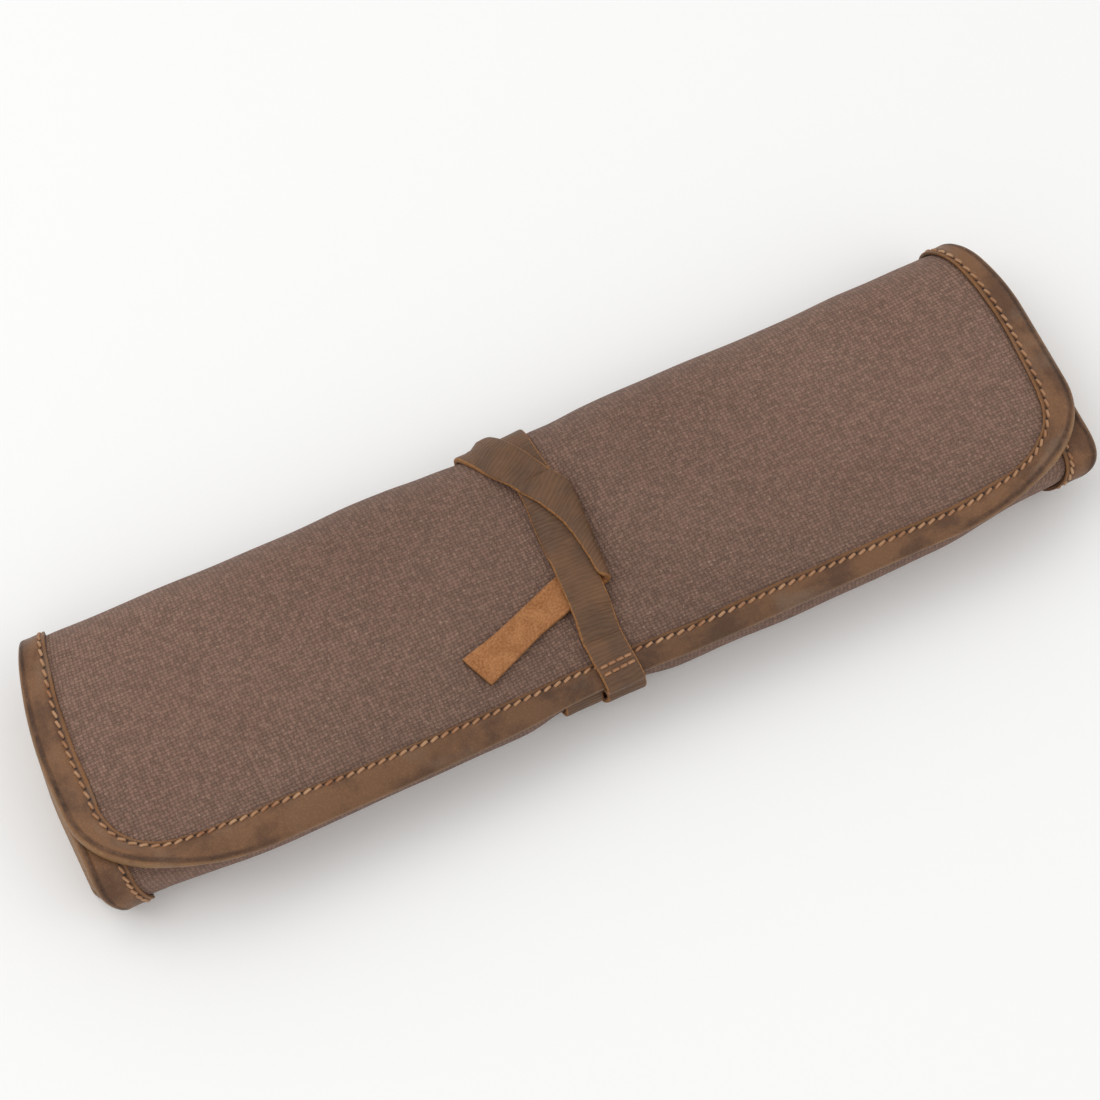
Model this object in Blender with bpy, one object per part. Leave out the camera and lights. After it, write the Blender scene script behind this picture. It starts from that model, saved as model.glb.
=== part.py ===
"""Artist brush roll: waxed canvas rolled up, bound in leather and tied with a leather strap.

The roll lies along X with its right end toward +X. The flap's free edge faces -Y, up is +Z, and the
flat underside is at z = 0. Dimensions are in millimetres and are turned into metres for the mesh.

Positions on the canvas are (x, t): x along the roll, and t the way wound, measured from the flap's
edge over the top, down the back, beneath and up the front, lap after lap. A negative t runs the other
way from the flap's edge, once round the closed outside, which is where the strap's second pass lies.
"""

import math

import bpy
import numpy as np

for existing in list(bpy.data.objects):
    bpy.data.objects.remove(existing)

MM = 0.001

# Materials' thicknesses
CANVAS = 2.0
BINDING = 1.0
STRAP = 1.8
GAP = 0.3

# The sheet, laid flat
SHEET_LENGTH = 335.5
SHEET_SHIFT = 4.5
CORNER_LENGTH = 55.0
CORNER_DEPTH = 32.0
BINDING_WIDTH = 11.5

# The roll's section
LAP_RADIUS = 14.2
LAP_PITCH = 5.2
FRONT_CENTRE = 29.6
FLAP_CENTRE = 37.4
BACK_CENTRE = -32.0
FLAP_ANGLE = math.radians(38.0)
INNER_END = 4.0

# How the roll settles
CROWN = 1.2
GRIP_PLACE = 1.2
GRIP_FLAT = 13.2
GRIP_SOFT = 13.0
GRIP_TOP = 2.0
GRIP_REACH = 34.0
GRIP_SIDES = 0.03
LEFT_DRAWN_IN = 12.6
RIGHT_DRAWN_IN = 8.0
LOW_FRONT_DRAWN_IN = 12.0
LOW_FRONT_FLARE = 2.8
LEFT_FLARE = 1.8
RIGHT_TAPER = -2.6
RIGHT_LOW_TAPER = 7.5

# The strap
STRAP_WIDTH = 12.5
STRAP_DENT = 1.7
TUCKED = 7.0
FOLD_PLACE = (14.8, 0.0)
FOLD_ANGLE = math.radians(-4.8)

# Looks: linear base colour and roughness of each piece's material
LOOKS = {
    "canvas_roll": ((0.186, 0.118, 0.092), 0.85),
    "edge_binding": ((0.195, 0.114, 0.066), 0.55),
    "strap": ((0.150, 0.092, 0.056), 0.55),
}
SHARP = math.radians(40.0)

BINDING_OUT = GAP + BINDING
BINDING_IN = -CANVAS - GAP - BINDING
LAYER = STRAP + GAP
LOOP = LAP_RADIUS * 2.0 * math.pi + 2.0 * (FLAP_CENTRE - BACK_CENTRE)
HEIGHT = 2.0 * LAP_RADIUS


def ease(value):
    """Smooth step from 0 to 1."""
    share = np.clip(value, 0.0, 1.0)
    return share * share * (3.0 - 2.0 * share)


def swell(value):
    """0 below 0, then growing as a square to 1."""
    share = np.clip(value, 0.0, 1.0)
    return share * share


def winding():
    """Pieces of the way wound: start, length, centres, angles and radii at both ends."""
    pieces = []
    start = 0.0
    front = FLAP_CENTRE
    for lap in range(3):
        radius = LAP_RADIUS - lap * LAP_PITCH
        turns = [
            (front, front, FLAP_ANGLE, 0.0, radius),
            (front, BACK_CENTRE, 0.0, 0.0, radius),
            (BACK_CENTRE, BACK_CENTRE, 0.0, -math.pi, radius),
            (BACK_CENTRE, FRONT_CENTRE, math.pi, math.pi, radius),
            (FRONT_CENTRE, FRONT_CENTRE, math.pi, FLAP_ANGLE, radius - LAP_PITCH),
        ]
        for centre_a, centre_b, angle_a, angle_b, radius_b in turns:
            length = abs(centre_b - centre_a) + abs(angle_b - angle_a) * radius
            pieces.append((start, length, centre_a, centre_b, angle_a, angle_b, radius, radius_b))
            start += length
        front = FRONT_CENTRE
    outside = [
        (FLAP_CENTRE, FLAP_CENTRE, FLAP_ANGLE, 0.0),
        (FLAP_CENTRE, BACK_CENTRE, 0.0, 0.0),
        (BACK_CENTRE, BACK_CENTRE, 0.0, -math.pi),
        (BACK_CENTRE, FRONT_CENTRE, math.pi, math.pi),
        (FRONT_CENTRE, FLAP_CENTRE, math.pi, FLAP_ANGLE),
    ]
    start = -LOOP
    for centre_a, centre_b, angle_a, angle_b in outside:
        length = abs(centre_b - centre_a) + abs(angle_b - angle_a) * LAP_RADIUS
        pieces.append(
            (start, length, centre_a, centre_b, angle_a, angle_b, LAP_RADIUS, LAP_RADIUS)
        )
        start += length
    return sorted(pieces)


PIECES = winding()
LAP_STARTS = [piece[0] for piece in PIECES]
SHEET_END = PIECES[-2][0] + PIECES[-2][1] - INNER_END
# The place high on the front, beneath the flap's edge, where the strap's first end is tucked in.
UNDER_FLAP = PIECES[9][0] + (math.pi - math.radians(70.0)) * LAP_RADIUS


def dent(x, t):
    """How far the second lap gives way under the strap's tucked end."""
    across = ease((14.0 - abs(x + 5.5)) / 7.0)
    along = ease((t - UNDER_FLAP + 16.0) / 14.0) * ease((UNDER_FLAP + 26.0 - t) / 14.0)
    return STRAP_DENT * across * along


def section(x, t):
    """The unsettled section's (front, up) at the canvas's outer face."""
    index = np.clip(np.searchsorted(LAP_STARTS, t, side="right") - 1, 0, len(PIECES) - 1)
    table = np.array(PIECES)[index]
    share = (t - table[..., 0]) / table[..., 1]
    centre = table[..., 2] + (table[..., 3] - table[..., 2]) * share
    angle = table[..., 4] + (table[..., 5] - table[..., 4]) * share
    shrink = 0.5 * share + 0.5 * ease(share)
    radius = table[..., 6] + (table[..., 7] - table[..., 6]) * shrink - dent(x, t)
    return centre + radius * np.sin(angle), LAP_RADIUS + radius * np.cos(angle)


def settled(x, front, up):
    """Where a point of the section comes to rest: the ends are lifted and the strap pulls in."""
    share = up / HEIGHT
    bound = ease((abs(x) - 116.0) / 34.0)
    groove = ease((GRIP_FLAT + GRIP_SOFT - abs(x - GRIP_PLACE)) / GRIP_SOFT)
    valley = ease((GRIP_REACH - abs(x - GRIP_PLACE)) / (GRIP_REACH - 5.0))
    base = BINDING_OUT * bound + (2.0 * LAYER) * groove
    crown = CROWN * (1.0 - 0.5 * bound) * (1.0 - (front / 46.0) ** 2)
    top = HEIGHT + BINDING_OUT * bound + crown - GRIP_TOP * valley
    height = base + share * (top - base)

    at_left = swell((-x - 92.0) / 78.0)
    at_right = swell((x - 92.0) / 78.0)
    low = ease((24.0 - up) / 24.0)
    forward = ease(front / 34.0)
    along = x
    along = along + LEFT_DRAWN_IN * at_left * swell((6.0 - front) / 52.0)
    along = along - RIGHT_DRAWN_IN * at_right * swell((-12.0 - front) / 33.0)
    along = along + LOW_FRONT_DRAWN_IN * (at_left - at_right) * low * ease((front - 29.0) / 15.0)
    across = front * (1.0 - GRIP_SIDES * valley)
    across = across + LOW_FRONT_FLARE * low * forward * (1.0 - bound)
    across = across + LEFT_FLARE * (1.0 - low) * forward * ease((20.0 - x) / 90.0)
    across = across - (RIGHT_TAPER + RIGHT_LOW_TAPER * low) * forward * swell((x - 100.0) / 70.0)
    return np.stack([along, -across, height], axis=-1)


def face_point(x, t):
    """A point of the canvas's outer face, settled."""
    front, up = section(x, t)
    return settled(x, front, up)


def placed(x, t, out):
    """The point that stands `out` off the canvas's outer face at (x, t)."""
    x, t, out = np.broadcast_arrays(*(np.asarray(v, dtype=float) for v in (x, t, out)))
    step = 0.25
    along = face_point(x + step, t) - face_point(x - step, t)
    around = face_point(x, t + step) - face_point(x, t - step)
    normal = np.cross(along, around)
    normal /= np.linalg.norm(normal, axis=-1, keepdims=True)
    return face_point(x, t) + normal * out[..., None]


def lap_steps(counts):
    """Stations along the way wound, from the first corner's end to the sheet's inner end."""
    stations = []
    laps = [piece for piece in PIECES if piece[0] >= 0.0]
    for piece, count in zip(laps, counts):
        stations += [piece[0] + piece[1] * i / count for i in range(count)]
    return [t for t in stations if CORNER_DEPTH + 2.0 < t < SHEET_END - 2.0] + [SHEET_END]


def joined(points, size):
    """Triangles between rings that follow one another, each quad cut along its shorter diagonal."""
    faces = []
    for i in range(len(points) // size - 1):
        for j in range(size):
            a = i * size + j
            b = i * size + (j + 1) % size
            c = b + size
            d = a + size
            if math.dist(points[a], points[c]) <= math.dist(points[b], points[d]):
                faces += [(a, b, c), (a, c, d)]
            else:
                faces += [(a, b, d), (b, c, d)]
    return faces


def capped(faces, ring_count, size, cap):
    """The faces with both ends closed by the cap's faces, which are indices into one ring."""
    last = (ring_count - 1) * size
    starts = [tuple(reversed(face)) for face in cap]
    ends = [tuple(index + last for index in face) for face in cap]
    return faces + starts + ends


def strip_cap(size):
    """Cap of a flat ring: its first half runs one way on one face, its second half back."""
    return [(j, j + 1, size - 2 - j, size - 1 - j) for j in range(size // 2 - 1)]


def add_material(name):
    """The piece's material, from its look."""
    colour, roughness = LOOKS[name]
    material = bpy.data.materials.new(name)
    material.use_nodes = True
    shader = material.node_tree.nodes["Principled BSDF"]
    shader.inputs["Base Color"].default_value = (*colour, 1.0)
    shader.inputs["Roughness"].default_value = roughness
    shader.inputs["Metallic"].default_value = 0.0
    return material


def add_solid(name, points, size, cap, holder):
    """A closed solid from rings of `size` points in metres, with its faces turned outward."""
    faces = capped(joined(points, size), len(points) // size, size, cap)
    volume = 0.0
    for face in faces:
        for j in range(1, len(face) - 1):
            a, b, c = points[face[0]], points[face[j]], points[face[j + 1]]
            volume += float(np.dot(a, np.cross(b, c)))
    if volume < 0.0:
        faces = [tuple(reversed(face)) for face in faces]
    mesh = bpy.data.meshes.new(name)
    mesh.from_pydata(points.tolist(), [], faces)
    mesh.materials.append(add_material(name))
    mesh.shade_smooth()
    mesh.set_sharp_from_angle(angle=SHARP)
    solid = bpy.data.objects.new(name, mesh)
    solid.parent = holder
    bpy.context.scene.collection.objects.link(solid)


# Canvas: one sheet, wound from the flap's edge to its inner end.

LAP_COUNTS = (4, 2, 8, 2, 6, 2, 2, 5, 2, 6, 3, 2, 5, 2)
GRIP_COLUMNS = (-37.0, -26.2, -19.7, -13.2, 0.0, 13.2, 19.7, 26.2)
MIDDLE_COLUMNS = (-104.0, -62.0, *(GRIP_PLACE + column for column in GRIP_COLUMNS), 52.0, 104.0)
OUTER_SHARES = (0.30, 0.55, 0.76, 0.89, 1.0)
CORNER_ANGLES = tuple(math.radians(angle) for angle in (90, 81, 73, 64, 55, 46, 37, 28, 18, 8))
HIDDEN = 1.8


def canvas_side(t, side):
    """The x of the canvas's raw edge, which the binding hides."""
    share = np.clip((CORNER_DEPTH - t) / (CORNER_DEPTH - HIDDEN), 0.0, 1.0)
    inset = HIDDEN + (CORNER_LENGTH - HIDDEN) * (1.0 - math.sqrt(max(0.0, 1.0 - share**2)))
    return side * (0.5 * SHEET_LENGTH - inset) + SHEET_SHIFT


def canvas_rings():
    corner = [
        CORNER_DEPTH - (CORNER_DEPTH - HIDDEN) * math.sin(angle) for angle in CORNER_ANGLES
    ]
    rings = []
    for t in corner + lap_steps(LAP_COUNTS):
        left = canvas_side(t, -1)
        right = canvas_side(t, 1)
        first, last = MIDDLE_COLUMNS[0], MIDDLE_COLUMNS[-1]
        columns = [first + (left - first) * share for share in reversed(OUTER_SHARES)]
        columns += MIDDLE_COLUMNS
        columns += [last + (right - last) * share for share in OUTER_SHARES]
        columns = np.array(columns)
        outer = placed(columns, t, 0.0)
        inner = placed(columns, t, -CANVAS)
        rings.append(np.concatenate([outer, inner[::-1]]))
    return rings


# Binding: one strip folded over the sheet's raw edge.

BINDING_PROFILE = (
    (BINDING_WIDTH, BINDING_OUT),
    (6.4, BINDING_OUT),
    (1.6, BINDING_OUT),
    (0.2, 0.5),
    (0.2, -CANVAS - 0.5),
    (1.6, BINDING_IN),
    (6.4, BINDING_IN),
    (BINDING_WIDTH, BINDING_IN),
    (BINDING_WIDTH, -CANVAS - GAP),
    (6.4, -CANVAS - GAP),
    (1.3, -CANVAS - GAP),
    (1.3, GAP),
    (6.4, GAP + 0.2),
    (BINDING_WIDTH, GAP),
)
BINDING_CAP = (
    (0, 1, 12, 13),
    (1, 2, 11, 12),
    (2, 3, 11),
    (3, 4, 10, 11),
    (4, 5, 10),
    (5, 6, 9, 10),
    (6, 7, 8, 9),
)
EDGE_COLUMNS = MIDDLE_COLUMNS


def outline():
    """Stations (x, t, inward x, inward t) along the sheet's bound edge, end to end."""
    half = 0.5 * SHEET_LENGTH
    ends = lap_steps(LAP_COUNTS)
    stations = [(SHEET_SHIFT - half, t, 1.0, 0.0) for t in reversed(ends)]
    corners = []
    for side in (-1.0, 1.0):
        turn = []
        for angle in reversed(CORNER_ANGLES):
            cut = CORNER_LENGTH * (1.0 - math.cos(angle))
            x = side * (half - cut) + SHEET_SHIFT
            t = CORNER_DEPTH * (1.0 - math.sin(angle))
            inward = (-side * CORNER_DEPTH * math.cos(angle), CORNER_LENGTH * math.sin(angle))
            size = math.hypot(*inward)
            turn.append((x, t, inward[0] / size, inward[1] / size))
        corners.append(turn)
    stations += corners[0]
    stations += [(x, 0.0, 0.0, 1.0) for x in EDGE_COLUMNS]
    stations += reversed(corners[1])
    stations += [(SHEET_SHIFT + half, t, -1.0, 0.0) for t in ends]
    return stations


def binding_rings():
    rings = []
    for x, t, inward_x, inward_t in outline():
        depth = np.array([point[0] for point in BINDING_PROFILE])
        out = np.array([point[1] for point in BINDING_PROFILE])
        rings.append(placed(x + inward_x * depth, t + inward_t * depth, out))
    return rings


# Strap: one ribbon sewn over the flap's edge. Each row is (x, t) of its centre.

TOP_START = LAP_RADIUS * FLAP_ANGLE + FLAP_CENTRE


def over(front):
    """The t on the top that lies `front` forward of the middle, on the first lap."""
    return TOP_START - front


FIRST_PASS = (
    (-5.7, UNDER_FLAP + TUCKED),
    (-5.6, UNDER_FLAP - 6.0),
    (-5.4, UNDER_FLAP - 27.0),
    (-2.2, UNDER_FLAP - 50.0),
    (3.0, UNDER_FLAP - 72.0),
    (7.2, UNDER_FLAP - 90.0),
    (8.8, UNDER_FLAP - 112.0),
    (8.6, over(-34.7)),
    (9.6, over(-22.0)),
    (8.4, over(-7.4)),
    (7.8, over(3.4)),
    (6.7, over(20.6)),
    (5.3, 10.7),
    (6.0, 2.0),
)
SECOND_PASS = (
    (6.1, 0.4),
    (6.2, -0.8),
    (6.2, -1.6),
    (6.3, -2.4),
    (6.4, -3.6),
    (6.7, -6.0),
    (7.4, -14.0),
    (7.3, -36.0),
    (3.6, -69.0),
    (0.6, -101.0),
    (-0.6, -117.0),
    (-0.9, over(-44.7) - LOOP),
    (3.0, over(-35.7) - LOOP),
)
# Height of the second pass's middle where it leaves the flap's edge: place on the way wound, height.
BRIDGE = (
    (-44.0, 1.2),
    (-40.0, 1.2),
    (-33.0, -0.3),
    (-26.0, -2.6),
    (-18.0, -4.6),
    (-10.0, -5.4),
    (-6.0, -4.6),
    (-3.6, -2.6),
    (-2.4, -0.8),
    (-1.6, 0.6),
    (-0.8, 1.8),
    (0.4, 2.5),
)
# Rows of the fold round the first pass: left edge (x, front), right edge (x, front), laid open.
FOLD_ROWS = (
    ((2.3, -24.7), (13.0, -30.6)),
    ((7.7, -13.8), (17.4, -20.6)),
    ((10.4, -7.6), (20.8, -14.6)),
    ((12.0, -0.2), (23.3, -7.0)),
    ((12.8, 7.4), (25.4, -0.4)),
    ((13.6, 14.2), (26.6, 4.6)),
)
# Rows of the free tail, where it lies: lower edge, upper edge.
TAIL_ROWS = (
    ((9.6, 16.4), (5.6, 6.0)),
    ((1.6, 19.4), (-2.6, 8.9)),
    ((-13.0, 25.0), (-17.4, 14.4)),
    ((-28.2, 30.6), (-33.0, 19.8)),
)
TAIL_BENEATH = ((17.2, -23.0), (14.0, 0.0), (11.4, 10.5), (2.0, 13.6), (-10.0, 18.4), (-31.0, 25.0))
COLUMNS = 7


def spline(rows, spacing):
    """A smooth curve through the rows, sampled about every `spacing` along the first two columns."""
    rows = np.array(rows, dtype=float)
    chords = np.linalg.norm(np.diff(rows, axis=0), axis=1)
    place = np.concatenate([[0.0], np.cumsum(chords)])
    slope = np.gradient(rows, place, axis=0)
    out = []
    for i in range(len(rows) - 1):
        span = place[i + 1] - place[i]
        count = max(1, round(span / spacing))
        for step in range(count):
            u = step / count
            out.append(
                (2 * u**3 - 3 * u**2 + 1) * rows[i]
                + (u**3 - 2 * u**2 + u) * span * slope[i]
                + (3 * u**2 - 2 * u**3) * rows[i + 1]
                + (u**3 - u**2) * span * slope[i + 1]
            )
    out.append(rows[-1])
    return np.array(out)


def away_from(x, y, line):
    """Distance of points in the flat from a line of corners."""
    line = np.array(line)
    nearest = np.full(np.shape(x), np.inf)
    for a, b in zip(line[:-1], line[1:]):
        reach = b - a
        share = ((x - a[0]) * reach[0] + (y - a[1]) * reach[1]) / float(reach @ reach)
        share = np.clip(share, 0.0, 1.0)
        distance = np.hypot(x - a[0] - share * reach[0], y - a[1] - share * reach[1])
        nearest = np.minimum(nearest, distance)
    return nearest


def fold_frame():
    """The fold line's place, its direction and its outward side, in (x, front)."""
    along = np.array([math.sin(FOLD_ANGLE), math.cos(FOLD_ANGLE)])
    outward = np.array([math.cos(FOLD_ANGLE), -math.sin(FOLD_ANGLE)])
    return np.array(FOLD_PLACE), along, outward


def laid_open(point):
    """Where a point of the tail would lie if the fold were opened out."""
    place, along, outward = fold_frame()
    offset = np.array(point) - place
    beyond = math.pi * LAYER - float(offset @ outward)
    opened = place + along * float(offset @ along) + outward * beyond
    return tuple(opened)


def raised_by_tail(x, t):
    """0 to 1: how far the first pass is raised by the tail beneath it."""
    front = TOP_START - t
    distance = away_from(x, front, TAIL_BENEATH)
    return ease((14.5 - distance) / 6.0) * ease((70.0 - t) / 2.0 + 1.0)


def first_pass_height(x, t):
    """Height of the strap's middle on its first pass."""
    on_binding = ease((BINDING_WIDTH + 4.0 - t) / 3.0)
    return GAP + 0.5 * STRAP + BINDING_OUT * on_binding + LAYER * raised_by_tail(x, t)


def second_pass_height(x, t, line):
    """Height of the strap's middle on its second pass, over the first one."""
    bridging = ease((t + 38.0) / 12.0)
    distance = away_from(x, t + LOOP, line)
    on_first = ease((0.5 * STRAP_WIDTH + 5.5 - distance) / 4.5) * (1.0 - bridging)
    over_tail = on_first * raised_by_tail(x, t + LOOP)
    places, heights = zip(*BRIDGE)
    return np.interp(t, places, heights) + LAYER * on_first + LAYER * over_tail


def folded(x, t, line):
    """The fold wrapped round the first pass: x, t and height of points laid open."""
    place, along, outward = fold_frame()
    front = TOP_START - (t + LOOP)
    beyond = (x - place[0]) * outward[0] + (front - place[1]) * outward[1]
    level = (x - place[0]) * along[0] + (front - place[1]) * along[1]
    low = GAP + 0.5 * STRAP
    edge_x = place[0] + along[0] * level
    edge_t = TOP_START - (place[1] + along[1] * level) - LOOP
    high = second_pass_height(edge_x, edge_t, line)
    radius = 0.5 * (high - low)
    turn = np.clip(beyond / radius, 0.0, math.pi)
    side = np.where(beyond < 0.0, beyond, radius * np.sin(turn))
    side = np.where(beyond > math.pi * radius, math.pi * radius - beyond, side)
    height = low + radius * (1.0 + np.cos(turn))
    height = np.where(beyond < 0.0, second_pass_height(x, t, line), height)
    new_x = place[0] + along[0] * level + outward[0] * side
    new_front = place[1] + along[1] * level + outward[1] * side
    return new_x, TOP_START - new_front - LOOP, height


def strap_grid(spacing):
    """Places of the strap's middle face: rows along it, columns from its left to its right edge."""
    centres = list(FIRST_PASS) + list(SECOND_PASS)
    smooth = spline(centres, 4.0)
    tangent = np.gradient(smooth, axis=0)
    tangent /= np.linalg.norm(tangent, axis=1, keepdims=True)
    left = smooth + np.stack([tangent[:, 1], -tangent[:, 0]], axis=1) * (0.5 * STRAP_WIDTH)
    right = smooth - np.stack([tangent[:, 1], -tangent[:, 0]], axis=1) * (0.5 * STRAP_WIDTH)
    rows = [(*a, *b) for a, b in zip(left, right)]
    rows = rows[:-1]
    first_rows = len(rows)
    for a, b in FOLD_ROWS:
        rows.append((a[0], over(a[1]) - LOOP, b[0], over(b[1]) - LOOP))
    for a, b in TAIL_ROWS:
        a = laid_open(a)
        b = laid_open(b)
        rows.append((a[0], over(a[1]) - LOOP, b[0], over(b[1]) - LOOP))
    fine = spline(rows, spacing * 1.4)
    starts = len(spline(rows[: first_rows + 1], spacing * 1.4)) - 1
    share = np.linspace(0.0, 1.0, COLUMNS)
    x = fine[:, 0:1] * (1.0 - share) + fine[:, 2:3] * share
    t = fine[:, 1:2] * (1.0 - share) + fine[:, 3:4] * share
    line = spline(FIRST_PASS, 4.0)
    first = first_pass_height(x, t)
    second = second_pass_height(x, t, line)
    height = np.where(t >= 0.0, first, second)
    fold_x, fold_t, fold_height = folded(x[starts:], t[starts:], line)
    x[starts:] = fold_x
    t[starts:] = fold_t
    height[starts:] = fold_height
    return placed(x, t, height)


def kept_rows(grid, within):
    """Indices of the rows that are needed to keep every dropped one this close to its neighbours."""
    kept = [0]
    i = 0
    while i < len(grid) - 1:
        j = i + 1
        while j < len(grid) - 1:
            share = (np.arange(i + 1, j + 1) - i)[:, None, None] / (j + 1 - i)
            straight = grid[i] * (1.0 - share) + grid[j + 1] * share
            if np.abs(np.linalg.norm(straight - grid[i + 1 : j + 1], axis=2)).max() > within:
                break
            j += 1
        kept.append(j)
        i = j
    return kept


def strap_rings():
    grid = strap_grid(1.0)
    along = np.gradient(grid, axis=0)
    across = np.gradient(grid, axis=1)
    normal = np.cross(along, across)
    normal /= np.linalg.norm(normal, axis=2, keepdims=True)
    upper = grid + normal * (0.5 * STRAP)
    lower = grid - normal * (0.5 * STRAP)
    rings = [np.concatenate([upper[i], lower[i][::-1]]) for i in kept_rows(grid, 0.10)]
    return rings


def main():
    """Builds the solids on an empty that centres the roll over the origin and stands it on z = 0."""
    columns = len(MIDDLE_COLUMNS) + 2 * len(OUTER_SHARES)
    pieces = {
        "canvas_roll": (canvas_rings(), strip_cap(2 * columns)),
        "edge_binding": (binding_rings(), BINDING_CAP),
        "strap": (strap_rings(), strip_cap(2 * COLUMNS)),
    }
    points = {name: np.array(rings).reshape(-1, 3) for name, (rings, _) in pieces.items()}
    everything = np.concatenate(list(points.values()))
    lowest, highest = everything.min(axis=0), everything.max(axis=0)
    origin = np.array([0.5 * (lowest[0] + highest[0]), 0.5 * (lowest[1] + highest[1]), lowest[2]])
    holder = bpy.data.objects.new("brush_roll", None)
    holder.location = -origin * MM
    bpy.context.scene.collection.objects.link(holder)
    for name, (rings, cap) in pieces.items():
        add_solid(name, points[name] * MM, len(rings[0]), cap, holder)


main()
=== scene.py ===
"""Dresses the artist brush roll: waxed canvas, leather binding, leather strap and their stitches.

Sizes are in millimetres. A place on the canvas is (x, t): x runs along the roll, and t is the way
wound from the flap's edge over the top, down the back, beneath and up the front. A negative t is
the closed outside, counted back from the flap's edge, where the strap's second pass lies.
"""

import math

import bpy
import numpy as np
from bpy.props import FloatProperty, FloatVectorProperty, PointerProperty
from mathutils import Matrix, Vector


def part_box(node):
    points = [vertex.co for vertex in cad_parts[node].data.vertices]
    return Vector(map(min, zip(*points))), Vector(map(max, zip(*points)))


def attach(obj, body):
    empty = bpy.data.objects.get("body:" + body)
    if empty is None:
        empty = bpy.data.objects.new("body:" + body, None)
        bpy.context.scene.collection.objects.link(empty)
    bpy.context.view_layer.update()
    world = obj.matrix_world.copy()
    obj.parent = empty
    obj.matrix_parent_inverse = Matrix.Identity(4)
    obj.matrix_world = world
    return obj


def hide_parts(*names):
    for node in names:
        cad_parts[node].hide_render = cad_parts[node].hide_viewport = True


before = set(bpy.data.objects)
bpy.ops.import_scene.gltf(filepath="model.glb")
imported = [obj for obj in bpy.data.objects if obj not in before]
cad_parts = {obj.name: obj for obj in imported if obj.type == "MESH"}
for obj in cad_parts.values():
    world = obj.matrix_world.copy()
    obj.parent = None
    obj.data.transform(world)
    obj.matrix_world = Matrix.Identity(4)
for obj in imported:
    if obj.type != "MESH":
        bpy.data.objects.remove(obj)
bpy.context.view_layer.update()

bl_info = {
    "name": "Artist brush roll",
    "version": (1, 0, 0),
    "blender": (4, 5, 0),
    "location": "View3D > Sidebar > Brush roll",
    "description": "Dresses the packed brush roll in canvas, leather and thread",
    "category": "Object",
}

MM = 0.001
BODY = "root"

# Thicknesses
CANVAS = 2.0
BINDING = 1.0
STRAP = 1.8
GAP = 0.3

# The sheet, laid flat
SHEET_LENGTH = 335.5
SHEET_SHIFT = 4.5
CORNER_LENGTH = 55.0
CORNER_DEPTH = 32.0
BINDING_WIDTH = 11.5
HIDDEN = 1.8

# The roll's section
LAP_RADIUS = 14.2
LAP_PITCH = 5.2
FRONT_CENTRE = 29.6
FLAP_CENTRE = 37.4
BACK_CENTRE = -32.0
FLAP_ANGLE = math.radians(38.0)
INNER_END = 4.0

# How the roll settles. A pair of places is where a change starts and where it is whole.
CROWN = 1.2
CROWN_REACH = 46.0
LIFTED_ENDS = (116.0, 150.0)
DRAWN_ENDS = (92.0, 170.0)
GRIP_PLACE = 1.2
GRIP_FLAT = 13.2
GRIP_SOFT = 13.0
GRIP_TOP = 2.0
GRIP_REACH = 34.0
GRIP_SIDES = 0.03
LEFT_DRAWN_IN = 12.6
RIGHT_DRAWN_IN = 8.0
LOW_FRONT_DRAWN_IN = 12.0
LOW_FRONT_FLARE = 2.8
LEFT_FLARE = 1.8
RIGHT_TAPER = -2.6
RIGHT_LOW_TAPER = 7.5

# The strap
STRAP_WIDTH = 12.5
STRAP_DENT = 1.7
DENT_PLACE = -5.5
DENT_ACROSS = (14.0, 7.0)
TUCKED = 7.0
FOLD_PLACE = (14.8, 0.0)
FOLD_ANGLE = math.radians(-4.8)

BINDING_OUT = GAP + BINDING
LAYER = STRAP + GAP
LOOP = LAP_RADIUS * 2.0 * math.pi + 2.0 * (FLAP_CENTRE - BACK_CENTRE)
HEIGHT = 2.0 * LAP_RADIUS
TOP_START = LAP_RADIUS * FLAP_ANGLE + FLAP_CENTRE

# The stitch line on the binding's nominal profile, and how much of the fold keeps its shape.
STITCH_DEPTH = 9.5
FOLD_DEPTH = 3.0
# The binding as sewn: distance along the edge from the flap's middle, stitch depth, strip's width.
SEWN_LINE = (
    (-420.0, 9.5, 11.5),
    (-300.0, 9.3, 11.5),
    (-200.0, 9.0, 11.2),
    (-184.0, 9.0, 11.1),
    (-173.0, 8.0, 9.9),
    (-165.0, 6.6, 8.2),
    (-158.0, 5.9, 7.3),
    (-150.0, 6.1, 7.3),
    (-145.0, 6.9, 8.0),
    (-139.0, 8.4, 9.4),
    (-127.0, 10.3, 11.2),
    (-112.0, 10.8, 11.7),
    (-99.0, 10.3, 11.3),
    (-86.0, 9.6, 10.7),
    (-60.0, 9.0, 10.2),
    (-34.0, 8.3, 9.6),
    (0.0, 7.3, 8.7),
    (25.0, 6.8, 8.3),
    (60.0, 7.1, 8.7),
    (90.0, 6.8, 8.5),
    (130.0, 6.9, 8.5),
    (140.0, 6.2, 7.6),
    (150.0, 6.2, 7.6),
    (160.0, 7.1, 8.5),
    (170.0, 8.3, 9.9),
    (178.0, 8.9, 10.7),
    (187.0, 8.3, 10.2),
    (200.0, 7.4, 9.4),
    (232.0, 7.3, 9.3),
    (270.0, 8.6, 10.8),
    (420.0, 9.5, 11.5),
)


# Shape of the roll, the same as the CAD's.


def ramp(value, start, end):
    """0 at start and 1 at end, in a smooth step."""
    share = np.clip((value - start) / (end - start), 0.0, 1.0)
    return share * share * (3.0 - 2.0 * share)


def swell(value, start, end):
    """0 at start, growing as a square to 1 at end."""
    share = np.clip((value - start) / (end - start), 0.0, 1.0)
    return share * share


def unit(vectors):
    """The vectors at length 1."""
    return vectors / np.linalg.norm(vectors, axis=-1, keepdims=True)


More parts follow.
